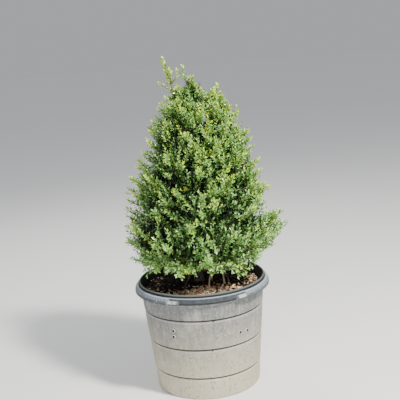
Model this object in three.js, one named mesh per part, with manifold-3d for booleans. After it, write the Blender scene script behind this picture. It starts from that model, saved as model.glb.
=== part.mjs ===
// A Japanese holly grown as a dense upright cone in a round nursery pot.
// Millimetres, +Z up, origin at the centre of the pot's flat underside, front of the plant towards -Y.
import * as THREE from 'three';
import { mergeVertices } from 'three/addons/utils/BufferGeometryUtils.js';
import Module from 'manifold-3d';

const wasm = await Module();
wasm.setup();

// Gap between neighbouring solids
const CLEARANCE = 0.3;

// Pot: outside radii, heights and wall
const POT_HEIGHT = 460;
const FOOT_RADIUS = 217;
const FOOT_CHAMFER = 4;
const MOUTH_RADIUS = 257;
const POT_WALL = 6;
const RING_HEIGHTS = [96, 222, 348];
const RING_STEP = 3.5;
const RING_DROP = 2;
const BAND_BOTTOM = 419;
const BAND_TOP = 454;
const BAND_RADIUS = 269;
const BAND_ROUND = 5;
const LIP_RADIUS = 261;
const LIP_WALL = 5;
const GROOVE_DEPTH = 3;
const LUG_STAND = 12;
const LUG_START = 30;
const LUG_END = 150;
const POT_SIDES = 48;

// Bark mulch and root ball
const SOIL_LEVEL = 426;
const SOIL_FLAT_RADIUS = 205;
const SOIL_EDGE_DROP = 6;

// Trunk and the ring of thinner stems round its foot
const TRUNK_FOOT = [-10, 20];
const TRUNK_TOP = [22, 0, 1128];
const TRUNK_RADII = [16, 5];
const ROOT_FLARE = 8;
const FLARE_HEIGHT = 60;
const STEM_RING_CENTRE = [15, 0];
const STEM_RING_RADIUS = 106;
const STEM_RING_TURN = -23;
const STEM_RADIUS = 6;
const STEM_FLARE = 2;
const BOUGH_SHARE = 0.6;
const BOUGH_RISE = 0.9;
const LIMB_TIP_RADIUS = 4.2;
const LIMB_SAMPLE = 6;
const TRUNK_SHAPE = { sides: 9, steps: 7 };
const STEM_SHAPE = { sides: 6, steps: 4 };
const BOUGH_SHAPE = { sides: 6, steps: 3 };
const TRUNK_STRAIGHT = 250;
const LIMB_STRAIGHT_SHARE = 0.35;

// Boughs leave the trunk one above the other, this far below their masses and below its top
const BOUGH_DROP = 12;
const BOUGH_STAGGER = 22;
const TRUNK_TOP_CLEAR = 62;

// Crown: half-width at each height, and how its middle leans with height
const CROWN_PROFILE = [
  [470, 215], [560, 262], [640, 303], [711, 305], [800, 275],
  [900, 240], [1000, 222], [1072, 198], [1160, 148], [1240, 100], [1320, 55],
];
const CROWN_MIDDLE = { height: 600, x: 8, leanPerMillimetre: 0.034 };
const CROWN_FLOOR = 472;
const HOLLOW_SHARE = 0.34;

// Where the stem of a mass starts and ends in it, in shares of its half sizes outwards and upwards
const NECK = { out: -0.62, up: -0.55 };
const HEAD = { out: 0.15, up: 0.6 };
const TWIG_ROOTS = { lowest: -0.1, highest: 0.2, rise: 0.8 };

// Tiers of foliage: middle height, how many masses stand round the trunk, the direction of the
// first one in degrees from +X, half sizes outwards, sideways and upwards, and how far up it faces
const TIERS = [
  { name: 'low', height: 612, count: 6, first: 0, size: [125, 160, 150], lift: 0 },
  { name: 'middle', height: 812, count: 5, first: 198, size: [122, 155, 135], lift: 0.1 },
  { name: 'upper', height: 982, count: 4, first: 225, size: [112, 145, 122], lift: 0.2 },
  { name: 'crest', height: 1112, count: 3, first: 235, size: [84, 104, 104], lift: 0.5 },
];
const SUMMIT = [
  { name: 'top', neck: TRUNK_TOP, centre: [14, -4, 1215], size: [62, 62, 88], lift: 3 },
  { name: 'leader', neck: [-46, 4, 1182], centre: [-66, 4, 1246], size: [26, 26, 74], lift: 3, open: true },
];
const DIRECTIONS = ['right', 'back_right', 'back', 'back_left', 'left', 'front_left', 'front', 'front_right'];

// Masses of the middle tier that are carried by stems of their own, and where those leave the soil
const OWN_STEMS = { middle_right: [42, 1], middle_front: [93, -40] };

// Lone shoots that stand out of the crown: where each one ends
const LONG_SHOOTS = {
  leader: [[-89, 2, 1371]],
  top: [[-16, 0, 1335], [29, -8, 1293]],
  crest_right: [[121, -6, 1250], [172, -20, 1160]],
  crest_front_left: [[-108, -60, 1195]],
  upper_front_right: [[234, -60, 1067]],
  upper_back_right: [[199, 70, 1127]],
  upper_front_left: [[-190, -70, 1010]],
  upper_back_left: [[-172, 70, 1072]],
  middle_right: [[306, -70, 831], [278, -40, 900]],
  middle_left: [[-280, -50, 843], [-262, -40, 907]],
  low_right: [[378, -30, 676], [364, 10, 710]],
  low_left: [[-299, 10, 670]],
};

// Twigs and leaves
const CORE_ROUGHNESS = 0.08;
const CORE_SINK = 8;
const CORE_MARGIN = 3;
const TWIG_PER_SIZE = 1 / 19;
const OPEN_TWIGS = 4;
const OPEN_LEAVES = 2;
const SEEDS = { core: 500, mass: 1000, massStep: 77, twig: 9000, twigStep: 40, shoot: 5000, shootStep: 10 };
const DIRECTION_JITTER = 0.5;
const INWARD_STEP = 0.01;
const TWIG_SPREAD = 0.95;
const TWIG_SHAPE = { sides: 3, steps: 1 };
const TWIG_RADII = [3.8, 3.4];
const TWIG_MARGIN = 12;
const STEM_IN_MASS_RADII = [4, 2];
const STEM_IN_MASS_SHAPE = { sides: 5, steps: 1 };
const LEAF = { length: 54, width: 31, thickness: 3, sink: 1, cup: 4 };
const LEAF_ROOM = 2;
const LEAF_STAND = 42;
const ROSETTE_SPACING = 9;
const SHOOT_SPACING = 24;
const LEAF_ANGLE = 58;
const ROSETTE_LEAVES = 4;
const SHOOT_LEAVES = 5;
const GOLDEN_ANGLE = Math.PI * (3 - Math.sqrt(5));

const UP = new THREE.Vector3(0, 0, 1);
const radians = THREE.MathUtils.degToRad;
const vector = (...numbers) => new THREE.Vector3(...numbers);

// Seeded numbers from 0 to 1
function dice(seed) {
  let state = seed >>> 0;
  return () => {
    state = (Math.imul(state, 1664525) + 1013904223) >>> 0;
    return state / 4294967296;
  };
}

// Solid from a closed geometry: shared vertices merged, flattened faces dropped, faces outwards
function solidFrom(geometry) {
  const bare = new THREE.BufferGeometry();
  bare.setAttribute('position', geometry.getAttribute('position'));
  bare.setIndex(geometry.getIndex());
  const merged = mergeVertices(bare, 1e-3);
  const place = merged.getAttribute('position').array;
  const corners = merged.getIndex().array;
  const faces = [];
  let volume = 0;
  for (let i = 0; i < corners.length; i += 3) {
    const [a, b, c] = corners.slice(i, i + 3);
    if (a === b || b === c || c === a) continue;
    faces.push([a, b, c]);
    const [p, q, r] = [a, b, c].map((k) => vector(...place.slice(3 * k, 3 * k + 3)));
    volume += p.dot(q.cross(r));
  }
  const outwards = volume < 0 ? faces.map(([a, b, c]) => [a, c, b]) : faces;
  return new wasm.Manifold(new wasm.Mesh({
    numProp: 3,
    vertProperties: Float32Array.from(place),
    triVerts: Uint32Array.from(outwards.flat()),
  }));
}

// Geometry of a solid's largest body, which drops loose scraps and fills sealed hollows
function geometryOf(solid) {
  const bodies = solid.decompose();
  const largest = bodies.reduce((a, b) => (b.volume() > a.volume() ? b : a));
  const mesh = largest.getMesh();
  const geometry = new THREE.BufferGeometry();
  geometry.setAttribute('position', new THREE.BufferAttribute(mesh.vertProperties, 3));
  geometry.setIndex(new THREE.BufferAttribute(mesh.triVerts, 1));
  geometry.computeVertexNormals();
  return geometry;
}

function named(name, solid, material) {
  const mesh = new THREE.Mesh(geometryOf(solid), material);
  mesh.name = name;
  return mesh;
}

// Round solid turned about the pot's axis from an outline of radius and height
function turned(outline) {
  const points = outline.map(([radius, height]) => new THREE.Vector2(radius, height));
  return new THREE.LatheGeometry(points, POT_SIDES).rotateX(Math.PI / 2);
}

const wallLine = (height) => FOOT_RADIUS + ((MOUTH_RADIUS - FOOT_RADIUS) * height) / BAND_BOTTOM;
const innerWall = (height) => wallLine(height) - RING_STEP - POT_WALL;

// Pot: four tiers that step in going down, a rolled band, a groove and a thin inner lip.
// The band stands further out as a long grip lug on each side.
function pot() {
  const outline = [[0, 0], [FOOT_RADIUS - FOOT_CHAMFER, 0], [FOOT_RADIUS, FOOT_CHAMFER]];
  for (const height of RING_HEIGHTS) {
    outline.push([wallLine(height) - RING_STEP, height - RING_DROP], [wallLine(height), height]);
  }
  outline.push([MOUTH_RADIUS, BAND_BOTTOM]);
  const bandStart = outline.length;
  outline.push([BAND_RADIUS - BAND_ROUND, BAND_BOTTOM], [BAND_RADIUS, BAND_BOTTOM + BAND_ROUND]);
  outline.push([BAND_RADIUS, BAND_TOP - BAND_ROUND], [BAND_RADIUS - BAND_ROUND, BAND_TOP]);
  const bandEnd = outline.length;
  outline.push([LIP_RADIUS, BAND_TOP - GROOVE_DEPTH], [LIP_RADIUS - 1, POT_HEIGHT]);
  outline.push([LIP_RADIUS - LIP_WALL, POT_HEIGHT], [innerWall(BAND_BOTTOM), BAND_BOTTOM]);
  outline.push([innerWall(POT_WALL), POT_WALL], [0, POT_WALL]);
  const geometry = turned(outline);
  const place = geometry.getAttribute('position');
  for (let side = 0; side <= POT_SIDES; side += 1) {
    const turn = (360 * side) / POT_SIDES;
    const fromFront = Math.min(turn, 360 - turn);
    if (fromFront < LUG_START || fromFront > LUG_END) continue;
    for (let k = bandStart; k < bandEnd; k += 1) {
      const i = side * outline.length + k;
      const radius = Math.hypot(place.getX(i), place.getY(i));
      const share = (radius + LUG_STAND) / radius;
      place.setXY(i, place.getX(i) * share, place.getY(i) * share);
    }
  }
  return solidFrom(geometry);
}

function soil() {
  const bottom = POT_WALL + CLEARANCE;
  const edge = SOIL_LEVEL - SOIL_EDGE_DROP;
  const wall = (height) => innerWall(height) - CLEARANCE;
  const outline = [[0, bottom], [wall(bottom), bottom], [wall(edge), edge]];
  outline.push([SOIL_FLAT_RADIUS, SOIL_LEVEL], [0, SOIL_LEVEL]);
  return solidFrom(turned(outline));
}

// Limb: a curve, its radius along it, and a frame that doesn't twist
function limb(name, curve, radii, shape, flare = 0) {
  const length = curve.getLength();
  const radiusAt = (share) => {
    const spread = Math.max(0, 1 - (share * length) / FLARE_HEIGHT);
    return THREE.MathUtils.lerp(radii[0], radii[1], share) + flare * spread * spread;
  };
  const run = curve.getPointAt(1).sub(curve.getPointAt(0));
  const across = vector(-run.y, run.x, 0);
  if (across.length() < 1e-3) across.set(0, 1, 0);
  return { name, curve, radiusAt, length, across: across.normalize(), ...shape };
}

function limbSolid(shape, extra = 0) {
  const geometry = new THREE.CylinderGeometry(1, 1, 1, shape.sides, shape.steps);
  const place = geometry.getAttribute('position');
  const outset = extra / Math.cos(Math.PI / shape.sides);
  for (let i = 0; i < place.count; i += 1) {
    const share = Math.min(1, Math.max(0, place.getY(i) + 0.5));
    const along = shape.curve.getTangentAt(share);
    const inPlane = along.clone().cross(shape.across).normalize();
    const sideways = inPlane.clone().cross(along).normalize();
    const radius = shape.radiusAt(share) + outset;
    const point = shape.curve.getPointAt(share);
    point.addScaledVector(inPlane, place.getX(i) * radius);
    point.addScaledVector(sideways, place.getZ(i) * radius);
    point.addScaledVector(along, (share - 0.5) * 2 * extra);
    place.setXYZ(i, point.x, point.y, point.z);
  }
  return solidFrom(geometry);
}

// Crown's half-width at a height, between the heights that its profile names
function crownRadius(height) {
  const after = CROWN_PROFILE.findIndex(([z]) => z >= height);
  if (after === 0) return CROWN_PROFILE[0][1];
  if (after < 0) return CROWN_PROFILE.at(-1)[1];
  const [[z0, r0], [z1, r1]] = [CROWN_PROFILE[after - 1], CROWN_PROFILE[after]];
  return r0 + ((r1 - r0) * (height - z0)) / (z1 - z0);
}

const crownMiddle = (height) => vector(
  CROWN_MIDDLE.x + (height - CROWN_MIDDLE.height) * CROWN_MIDDLE.leanPerMillimetre, 0, height,
);

// A mass of foliage: an egg round its centre, with the stem that runs up through it
function mass(name, centre, outward, { size, lift, neck: place, open = false, hollow = 0 }) {
  const [out, side, up] = size;
  const sideward = UP.clone().cross(outward);
  const facing = outward.clone().addScaledVector(UP, lift).normalize();
  const inside = (share) => (
    centre.clone().addScaledVector(outward, share.out * out).addScaledVector(UP, share.up * up)
  );
  const neck = place ? vector(...place) : inside(NECK);
  const head = inside(HEAD);
  const along = head.clone().sub(neck).normalize();
  return { name, centre, outward, sideward, facing, out, side, up, neck, head, along, open, hollow };
}

function massesOfTier(tier) {
  const reach = crownRadius(tier.height) - tier.size[0];
  return Array.from({ length: tier.count }, (_, i) => {
    const turn = (tier.first + (360 * i) / tier.count) % 360;
    const outward = vector(Math.cos(radians(turn)), Math.sin(radians(turn)), 0);
    const centre = crownMiddle(tier.height).addScaledVector(outward, reach);
    const name = `${tier.name}_${DIRECTIONS[Math.round(turn / 45) % 8]}`;
    return mass(name, centre, outward, { ...tier, hollow: HOLLOW_SHARE });
  });
}

const summit = SUMMIT.map((row) => {
  const middle = vector(...row.centre);
  const outward = vector(middle.x - TRUNK_TOP[0], middle.y - TRUNK_TOP[1], 0).normalize();
  return mass(row.name, middle, outward, row);
});
const masses = [...TIERS.flatMap(massesOfTier), ...summit];
const top = masses.find(({ name }) => name === 'top');

// Each mass keeps to its own cell: the planes between it and the masses round it
masses.forEach((own) => {
  const weight = (m) => ((m.out + m.side + m.up) / 3) ** 2;
  own.planes = masses.filter((other) => other !== own).map((other) => {
    const normal = other.centre.clone().sub(own.centre);
    const gap = normal.length();
    const share = (gap * gap + weight(own) - weight(other)) / (2 * gap);
    normal.divideScalar(gap);
    return { normal, limit: own.centre.dot(normal) + share };
  });
});

// How far inside its cell a point is, in millimetres
function cellRoom(own, point) {
  const rooms = own.planes.map(({ normal, limit }) => limit - point.dot(normal));
  return Math.min(point.z - CROWN_FLOOR, ...rooms);
}

// Point in a direction from a mass's centre: share 1 is on the surface of its egg
function eggPoint(own, direction, share) {
  const point = own.centre.clone();
  point.addScaledVector(own.outward, direction.dot(own.outward) * own.out * share);
  point.addScaledVector(own.sideward, direction.dot(own.sideward) * own.side * share);
  return point.addScaledVector(UP, direction.z * own.up * share);
}

// Whether a point lies in a dense mass's part of the crown, between its hollow middle and its leaves
function inShell(own, point) {
  if (own.open) return true;
  const middle = crownMiddle(point.z);
  const radius = Math.hypot(point.x - middle.x, point.y - middle.y);
  const crown = crownRadius(point.z);
  return radius > own.hollow * crown && radius < crown - LEAF_STAND;
}

// Furthest point in a direction from a mass's centre that keeps a margin to its cell
function outermost(own, direction, margin) {
  let share = 1;
  let point = eggPoint(own, direction, share);
  while (share > 0.1 && (cellRoom(own, point) < margin || !inShell(own, point))) {
    share -= INWARD_STEP;
    point = eggPoint(own, direction, share);
  }
  return point;
}

// Trunk, boughs that leave it, and stems of their own from the soil
const trunkEnd = top.neck.clone().addScaledVector(top.along, -CLEARANCE / 2);
const trunkStart = vector(...TRUNK_FOOT, SOIL_LEVEL + CLEARANCE);
const trunkCurve = new THREE.CubicBezierCurve3(
  trunkStart,
  trunkStart.clone().addScaledVector(UP, TRUNK_STRAIGHT),
  trunkEnd.clone().addScaledVector(top.along, -TRUNK_STRAIGHT),
  trunkEnd,
);
const trunk = limb('trunk', trunkCurve, TRUNK_RADII, TRUNK_SHAPE, ROOT_FLARE);

function trunkShareAt(height) {
  let [low, high] = [0, 1];
  for (let i = 0; i < 30; i += 1) {
    const middle = (low + high) / 2;
    if (trunkCurve.getPointAt(middle).z < height) low = middle;
    else high = middle;
  }
  return low;
}

function stemTo(own, foot) {
  const start = vector(...foot, SOIL_LEVEL + CLEARANCE);
  const end = own.neck.clone().addScaledVector(own.along, -CLEARANCE / 2);
  const pull = start.distanceTo(end) * LIMB_STRAIGHT_SHARE;
  const curve = new THREE.CubicBezierCurve3(
    start,
    start.clone().addScaledVector(UP, pull),
    end.clone().addScaledVector(own.along, -pull),
    end,
  );
  return limb(`stem_${own.name}`, curve, [STEM_RADIUS, LIMB_TIP_RADIUS], STEM_SHAPE, STEM_FLARE);
}

function boughTo(own, order) {
  const end = own.neck.clone().addScaledVector(own.along, -CLEARANCE / 2);
  const run = Math.hypot(end.x - crownMiddle(end.z).x, end.y);
  const stagger = BOUGH_STAGGER * (order % 3);
  const height = Math.min(end.z - run - BOUGH_DROP, trunkEnd.z - TRUNK_TOP_CLEAR) + stagger;
  const share = trunkShareAt(height);
  const start = trunkCurve.getPointAt(share);
  const pull = start.distanceTo(end) * LIMB_STRAIGHT_SHARE;
  const rise = end.clone().sub(start).setZ(0).normalize().addScaledVector(UP, BOUGH_RISE).normalize();
  const curve = new THREE.CubicBezierCurve3(
    start,
    start.clone().addScaledVector(rise, pull),
    end.clone().addScaledVector(own.along, -pull),
    end,
  );
  const foot = Math.max(LIMB_TIP_RADIUS, trunk.radiusAt(share) * BOUGH_SHARE);
  const tip = Math.min(foot, LIMB_TIP_RADIUS);
  return limb(`bough_${own.name}`, curve, [foot, tip], BOUGH_SHAPE);
}

function stemFoot(own) {
  if (OWN_STEMS[own.name]) return OWN_STEMS[own.name];
  const turn = Math.atan2(own.outward.y, own.outward.x) + radians(STEM_RING_TURN);
  const [x, y] = STEM_RING_CENTRE;
  return [x + STEM_RING_RADIUS * Math.cos(turn), y + STEM_RING_RADIUS * Math.sin(turn)];
}

const limbs = masses.filter((own) => own !== top).map((own, order) => {
  const fromSoil = own.name.startsWith('low') || OWN_STEMS[own.name];
  return fromSoil ? stemTo(own, stemFoot(own)) : boughTo(own, order);
});
const allLimbs = [trunk, ...limbs];
const limbSamples = allLimbs.flatMap((shape) => {
  const count = Math.ceil(shape.length / LIMB_SAMPLE);
  return Array.from({ length: count + 1 }, (_, i) => (
    { point: shape.curve.getPointAt(i / count), radius: shape.radiusAt(i / count) }
  ));
});

// Whether a thin thing from a to b, of a given half-width, touches a limb
function touchesLimb(a, b, halfWidth) {
  const line = new THREE.Line3(a, b);
  const nearest = vector();
  return limbSamples.some(({ point, radius }) => {
    line.closestPointToPoint(point, true, nearest);
    return nearest.distanceTo(point) < radius + halfWidth + LIMB_SAMPLE / 2;
  });
}

// Leaf: eight faces, widest past its middle, its edges a little raised towards the side it faces
function leafSolid(root, along, facing) {
  const face = facing.clone().addScaledVector(along, -facing.dot(along)).normalize();
  const side = face.clone().cross(along);
  const start = root.clone().addScaledVector(along, -LEAF.sink);
  const geometry = new THREE.OctahedronGeometry(1);
  const place = geometry.getAttribute('position');
  for (let i = 0; i < place.count; i += 1) {
    const [x, y, z] = [place.getX(i), place.getY(i), place.getZ(i)];
    const point = start.clone().addScaledVector(along, LEAF.length * (0.54 + 0.5 * x - 0.04 * x * x));
    point.addScaledVector(side, (LEAF.width / 2) * y);
    point.addScaledVector(face, (LEAF.thickness / 2) * z + LEAF.cup * y * y);
    place.setXYZ(i, point.x, point.y, point.z);
  }
  return solidFrom(geometry);
}

function leafFits(own, root, along) {
  const tip = root.clone().addScaledVector(along, LEAF.length);
  const widest = root.clone().addScaledVector(along, LEAF.length / 2);
  const roomy = cellRoom(own, tip) > LEAF_ROOM && cellRoom(own, widest) > LEAF.width / 2 + LEAF_ROOM;
  return roomy && !touchesLimb(root, tip, LEAF.width / 2);
}

// Three-sided twig from the stem of its mass: a leaf on its tip, and others below it on each side in turn
function twigWithLeaves(own, from, to, seed, leaves, spacing) {
  const shape = limb('twig', new THREE.LineCurve3(from, to), TWIG_RADII, TWIG_SHAPE);
  const pieces = [limbSolid(shape)];
  const along = to.clone().sub(from).normalize();
  const inPlane = along.clone().cross(shape.across).normalize();
  const sideways = inPlane.clone().cross(along).normalize();
  const random = dice(seed);
  const angle = radians(LEAF_ANGLE);
  const first = Math.floor(random() * shape.sides);
  let place = shape.length;
  if (leafFits(own, to, along)) pieces.push(leafSolid(to, along, sideways));
  for (let leaf = 1; leaf < leaves && place > 2 * spacing; leaf += 1) {
    place -= spacing * (0.8 + 0.4 * random());
    const turn = (2 * Math.PI * (first + leaf + 0.5)) / shape.sides;
    const root = from.clone().addScaledVector(along, place);
    const leafAlong = along.clone().multiplyScalar(Math.cos(angle));
    leafAlong.addScaledVector(inPlane, Math.sin(angle) * Math.sin(turn));
    leafAlong.addScaledVector(sideways, Math.sin(angle) * Math.cos(turn));
    if (leafFits(own, root, leafAlong)) pieces.push(leafSolid(root, leafAlong, along));
  }
  return pieces;
}

// Where a twig towards a tip leaves the stem of its mass
function twigRoot(own, tip) {
  const run = Math.hypot(tip.x - own.centre.x, tip.y - own.centre.y);
  const lowest = own.open ? own.neck.z : own.centre.z + TWIG_ROOTS.lowest * own.up;
  const highest = own.centre.z + TWIG_ROOTS.highest * own.up;
  const height = THREE.MathUtils.clamp(tip.z - TWIG_ROOTS.rise * run, lowest, highest);
  const share = (height - own.neck.z) / (own.head.z - own.neck.z);
  return own.neck.clone().lerp(own.head, share);
}

// Core of a dense mass: a lumpy egg that keeps to the cell
function coreSolid(own, seed) {
  const random = dice(seed);
  const geometry = new THREE.IcosahedronGeometry(1, 1).deleteAttribute('normal').deleteAttribute('uv');
  const core = mergeVertices(geometry);
  const place = core.getAttribute('position');
  for (let i = 0; i < place.count; i += 1) {
    const direction = vector(place.getX(i), place.getY(i), place.getZ(i)).normalize();
    const point = outermost(own, direction, CORE_MARGIN);
    point.lerp(own.centre, CORE_ROUGHNESS * random() + CORE_SINK / point.distanceTo(own.centre));
    place.setXYZ(i, point.x, point.y, point.z);
  }
  return solidFrom(core);
}

function foliage(own, order) {
  const random = dice(SEEDS.mass + SEEDS.massStep * order);
  const start = own.neck.clone().addScaledVector(own.along, CLEARANCE / 2);
  const stem = limb('stem', new THREE.LineCurve3(start, own.head), STEM_IN_MASS_RADII, STEM_IN_MASS_SHAPE);
  let inner = limbSolid(stem);
  if (!own.open) {
    let core = coreSolid(own, SEEDS.core + order);
    const reach = Math.max(own.out, own.side, own.up);
    const near = allLimbs.filter((shape) => (
      shape.curve.getSpacedPoints(20).some((point) => point.distanceTo(own.centre) < reach)
    ));
    for (const shape of near) core = core.subtract(limbSolid(shape, 1));
    inner = inner.add(core);
  }
  const pieces = [inner];
  const over = own.facing.clone().cross(own.sideward);
  const trials = own.open ? OPEN_TWIGS : Math.round(own.out * TWIG_PER_SIZE);
  const leaves = own.open ? OPEN_LEAVES : ROSETTE_LEAVES;
  for (let trial = 0; trial < trials; trial += 1) {
    const ahead = 1 - (TWIG_SPREAD * (trial + 0.5)) / trials;
    const turn = trial * GOLDEN_ANGLE + DIRECTION_JITTER * random();
    const flat = Math.sqrt(1 - ahead * ahead);
    const direction = own.facing.clone().multiplyScalar(ahead);
    direction.addScaledVector(own.sideward, flat * Math.cos(turn));
    direction.addScaledVector(over, flat * Math.sin(turn));
    const tip = outermost(own, direction, TWIG_MARGIN);
    const root = twigRoot(own, tip);
    if (touchesLimb(root, tip, TWIG_RADII[0])) continue;
    const seed = SEEDS.twig + SEEDS.twigStep * order + trial;
    pieces.push(...twigWithLeaves(own, root, tip, seed, leaves, ROSETTE_SPACING));
  }
  (LONG_SHOOTS[own.name] ?? []).forEach((place, i) => {
    const end = vector(...place);
    const root = own.open ? own.head : twigRoot(own, end);
    const tip = end.clone().sub(root).setLength(end.distanceTo(root) - LEAF.length + LEAF.sink).add(root);
    const seed = SEEDS.shoot + SEEDS.shootStep * order + i;
    pieces.push(...twigWithLeaves(own, root, tip, seed, SHOOT_LEAVES, SHOOT_SPACING));
  });
  return wasm.Manifold.union(pieces);
}

// Finishes
const finish = (color, roughness) => new THREE.MeshStandardMaterial({ color, roughness, metalness: 0 });
const potPlastic = finish(0x7d7f80, 0.7);
const mulch = finish(0x5a3c26, 0.95);
const bark = finish(0x8b8070, 0.9);
const leafGreens = [0x4c7a33, 0x56843a, 0x426d2f, 0x648f3f].map((color) => finish(color, 0.45));

const plant = new THREE.Group();
plant.add(named('pot', pot(), potPlastic));
plant.add(named('soil', soil(), mulch));
plant.add(named('trunk', limbSolid(trunk), bark));
const fatTrunk = limbSolid(trunk, CLEARANCE);
for (const shape of limbs) {
  const solid = limbSolid(shape);
  plant.add(named(shape.name, shape.name.startsWith('bough') ? solid.subtract(fatTrunk) : solid, bark));
}
masses.forEach((own, order) => {
  plant.add(named(`foliage_${own.name}`, foliage(own, order), leafGreens[order % leafGreens.length]));
});

export default plant;
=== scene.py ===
# %% [markdown]
# A Japanese holly in a nursery pot
#
# The plant is a dense upright cone of small glossy leaves on thin twigs, in a weathered grey pot with
# bark mulch on top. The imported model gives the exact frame: a pot, the mulch, a trunk, stems, boughs and
# twenty masses of foliage. Each of them gets its finished form here, in the same place. The plant grows
# in millimetres, by the rule that shaped the masses, and becomes metres when a mesh is made.

# %% Load the frame
import math

import bpy
import numpy as np
from mathutils import Matrix, Vector, noise


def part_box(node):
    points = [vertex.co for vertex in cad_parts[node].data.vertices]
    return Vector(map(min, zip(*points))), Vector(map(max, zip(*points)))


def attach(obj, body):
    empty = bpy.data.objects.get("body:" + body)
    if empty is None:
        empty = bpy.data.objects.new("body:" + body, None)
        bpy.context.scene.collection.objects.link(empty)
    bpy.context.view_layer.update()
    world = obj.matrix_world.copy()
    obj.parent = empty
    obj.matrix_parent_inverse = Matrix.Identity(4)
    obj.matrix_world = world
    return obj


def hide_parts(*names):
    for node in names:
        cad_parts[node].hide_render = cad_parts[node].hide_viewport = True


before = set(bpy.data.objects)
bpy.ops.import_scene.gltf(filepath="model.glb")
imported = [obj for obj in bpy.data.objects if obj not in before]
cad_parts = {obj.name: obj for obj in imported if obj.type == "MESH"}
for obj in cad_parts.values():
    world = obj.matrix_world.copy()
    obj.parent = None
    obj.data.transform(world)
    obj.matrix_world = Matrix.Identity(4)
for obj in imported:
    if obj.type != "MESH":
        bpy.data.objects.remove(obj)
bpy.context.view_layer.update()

MILLIMETRE = 0.001
UP = np.array([0.0, 0.0, 1.0])
GOLDEN_ANGLE = math.pi * (3 - math.sqrt(5))

# %% [markdown]
# Camera first
#
# The camera's place and angles come from a fit to the real pot: its rim, three moulded rings and foot fix
# where the photographer stood. It looks a little down, from about three metres away, and leans by four
# degrees, which is why the pot leans in the picture. An unturned camera in Blender looks straight down, so
# it is first raised towards the level, then leant about its own line of sight.

# %% Camera
EYE = Vector((0.018, -3.229, 1.438))
LOOKS_DOWN = math.radians(11.5)
LEANS = math.radians(4.4)
LENS_MM = 72
SENSOR_MM = 36


def new_object(name, data):
    """An object in the scene that shows the data."""
    made = bpy.data.objects.new(name, data)
    bpy.context.scene.collection.objects.link(made)
    return made


camera_data = bpy.data.cameras.new("camera")
camera_data.lens = LENS_MM
camera_data.sensor_width = SENSOR_MM
camera = new_object("camera", camera_data)
level_view = Matrix.Rotation(math.pi / 2 - LOOKS_DOWN, 4, "X")
camera.matrix_world = Matrix.Translation(EYE) @ level_view @ Matrix.Rotation(-LEANS, 4, "Z")
bpy.context.scene.camera = camera
print("camera stands", round(EYE.length, 2), "m from the foot of the pot")

# %% [markdown]
# Node trees as Python
#
# A finish is easier to read as a sum than as a drawing of boxes. `Value` wraps the output of a node, and
# plus, minus and times on it add Math nodes. `Graph.node` adds any other node: its settings are set first,
# then its sockets. Both serve shader trees and geometry trees.


# %% Values and graphs
class Value:
    """The output of a node, which arithmetic turns into Math nodes."""

    def __init__(self, graph, socket):
        self.graph = graph
        self.socket = socket

    def output(self, name):
        return Value(self.graph, self.socket.node.outputs[name])

    def math(self, operation, *others):
        feeds = dict(enumerate((self, *others)))
        return self.graph.node("ShaderNodeMath", {"operation": operation}, feeds)

    def __add__(self, other):
        return self.math("ADD", other)

    def __mul__(self, other):
        return self.math("MULTIPLY", other)

    def __sub__(self, other):
        return self.math("SUBTRACT", other)

    def __rsub__(self, other):
        return self.graph.node("ShaderNodeMath", {"operation": "SUBTRACT"}, {0: other, 1: self})

    __radd__ = __add__
    __rmul__ = __mul__


class Graph:
    """A node tree that is built by calls."""

    def __init__(self, tree):
        self.tree = tree

    def feed(self, socket, value):
        if isinstance(value, Value):
            self.tree.links.new(value.socket, socket)
        else:
            socket.default_value = value

    def node(self, kind, settings=None, feeds=None, output=0):
        made = self.tree.nodes.new(kind)
        for name, setting in (settings or {}).items():
            setattr(made, name, setting)
        for name, value in (feeds or {}).items():
            self.feed(made.inputs[name], value)
        return Value(self, made.outputs[output])


# %% [markdown]
# Small shader helpers
#
# All patterns read Object coordinates, in metres, so a pattern has its real size and stays on the piece.

# %% Shader helpers
COLOUR_MIX_A, COLOUR_MIX_B, COLOUR_MIX_RESULT = 6, 7, 2


class Finish(Graph):
    """A material: a Principled BSDF and the expressions that feed it."""

    def __init__(self, name, **plain):
        self.material = bpy.data.materials.new(name)
        self.material.use_nodes = True
        super().__init__(self.material.node_tree)
        self.shader = self.tree.nodes["Principled BSDF"]
        for socket, value in plain.items():
            self.shader.inputs[socket.replace("_", " ")].default_value = value
        self.place = self.node("ShaderNodeTexCoord", output="Object")

    def noise(self, scale, detail=4.0, stretch=(1, 1, 1), roughness=0.55):
        place = self.node("ShaderNodeMapping", {}, {"Vector": self.place, "Scale": stretch})
        return self.node("ShaderNodeTexNoise", {}, {
            "Vector": place, "Scale": scale, "Detail": detail, "Roughness": roughness,
        })

    def ease(self, value, low, high):
        """0 below low, 1 above high, smooth between."""
        return self.node("ShaderNodeMapRange", {"interpolation_type": "SMOOTHSTEP"}, {
            "Value": value, "From Min": low, "From Max": high,
        })

    def blend(self, factor, first, second, kind="MIX"):
        settings = {"data_type": "RGBA", "blend_type": kind}
        feeds = {0: factor, COLOUR_MIX_A: first, COLOUR_MIX_B: second}
        return self.node("ShaderNodeMix", settings, feeds, COLOUR_MIX_RESULT)

    def bump(self, height, strength, distance):
        normal = self.node("ShaderNodeBump", {}, {
            "Strength": strength, "Distance": distance, "Height": height,
        })
        self.feed(self.shader.inputs["Normal"], normal)

    def shade(self, **sockets):
        for socket, value in sockets.items():
            self.feed(self.shader.inputs[socket.replace("_", " ")], value)
        return self.material


def colour(red, green, blue):
    """A colour given as 0 to 255 screen values, as linear light by the sRGB curve."""
    shares = [value / 255 for value in (red, green, blue)]
    return (*[s / 12.92 if s <= 0.04045 else ((s + 0.055) / 1.055) ** 2.4 for s in shares], 1)


def darkened(shade, share):
    """A colour at a share of its light."""
    return (*[share * channel for channel in shade[:3]], 1)


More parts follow.
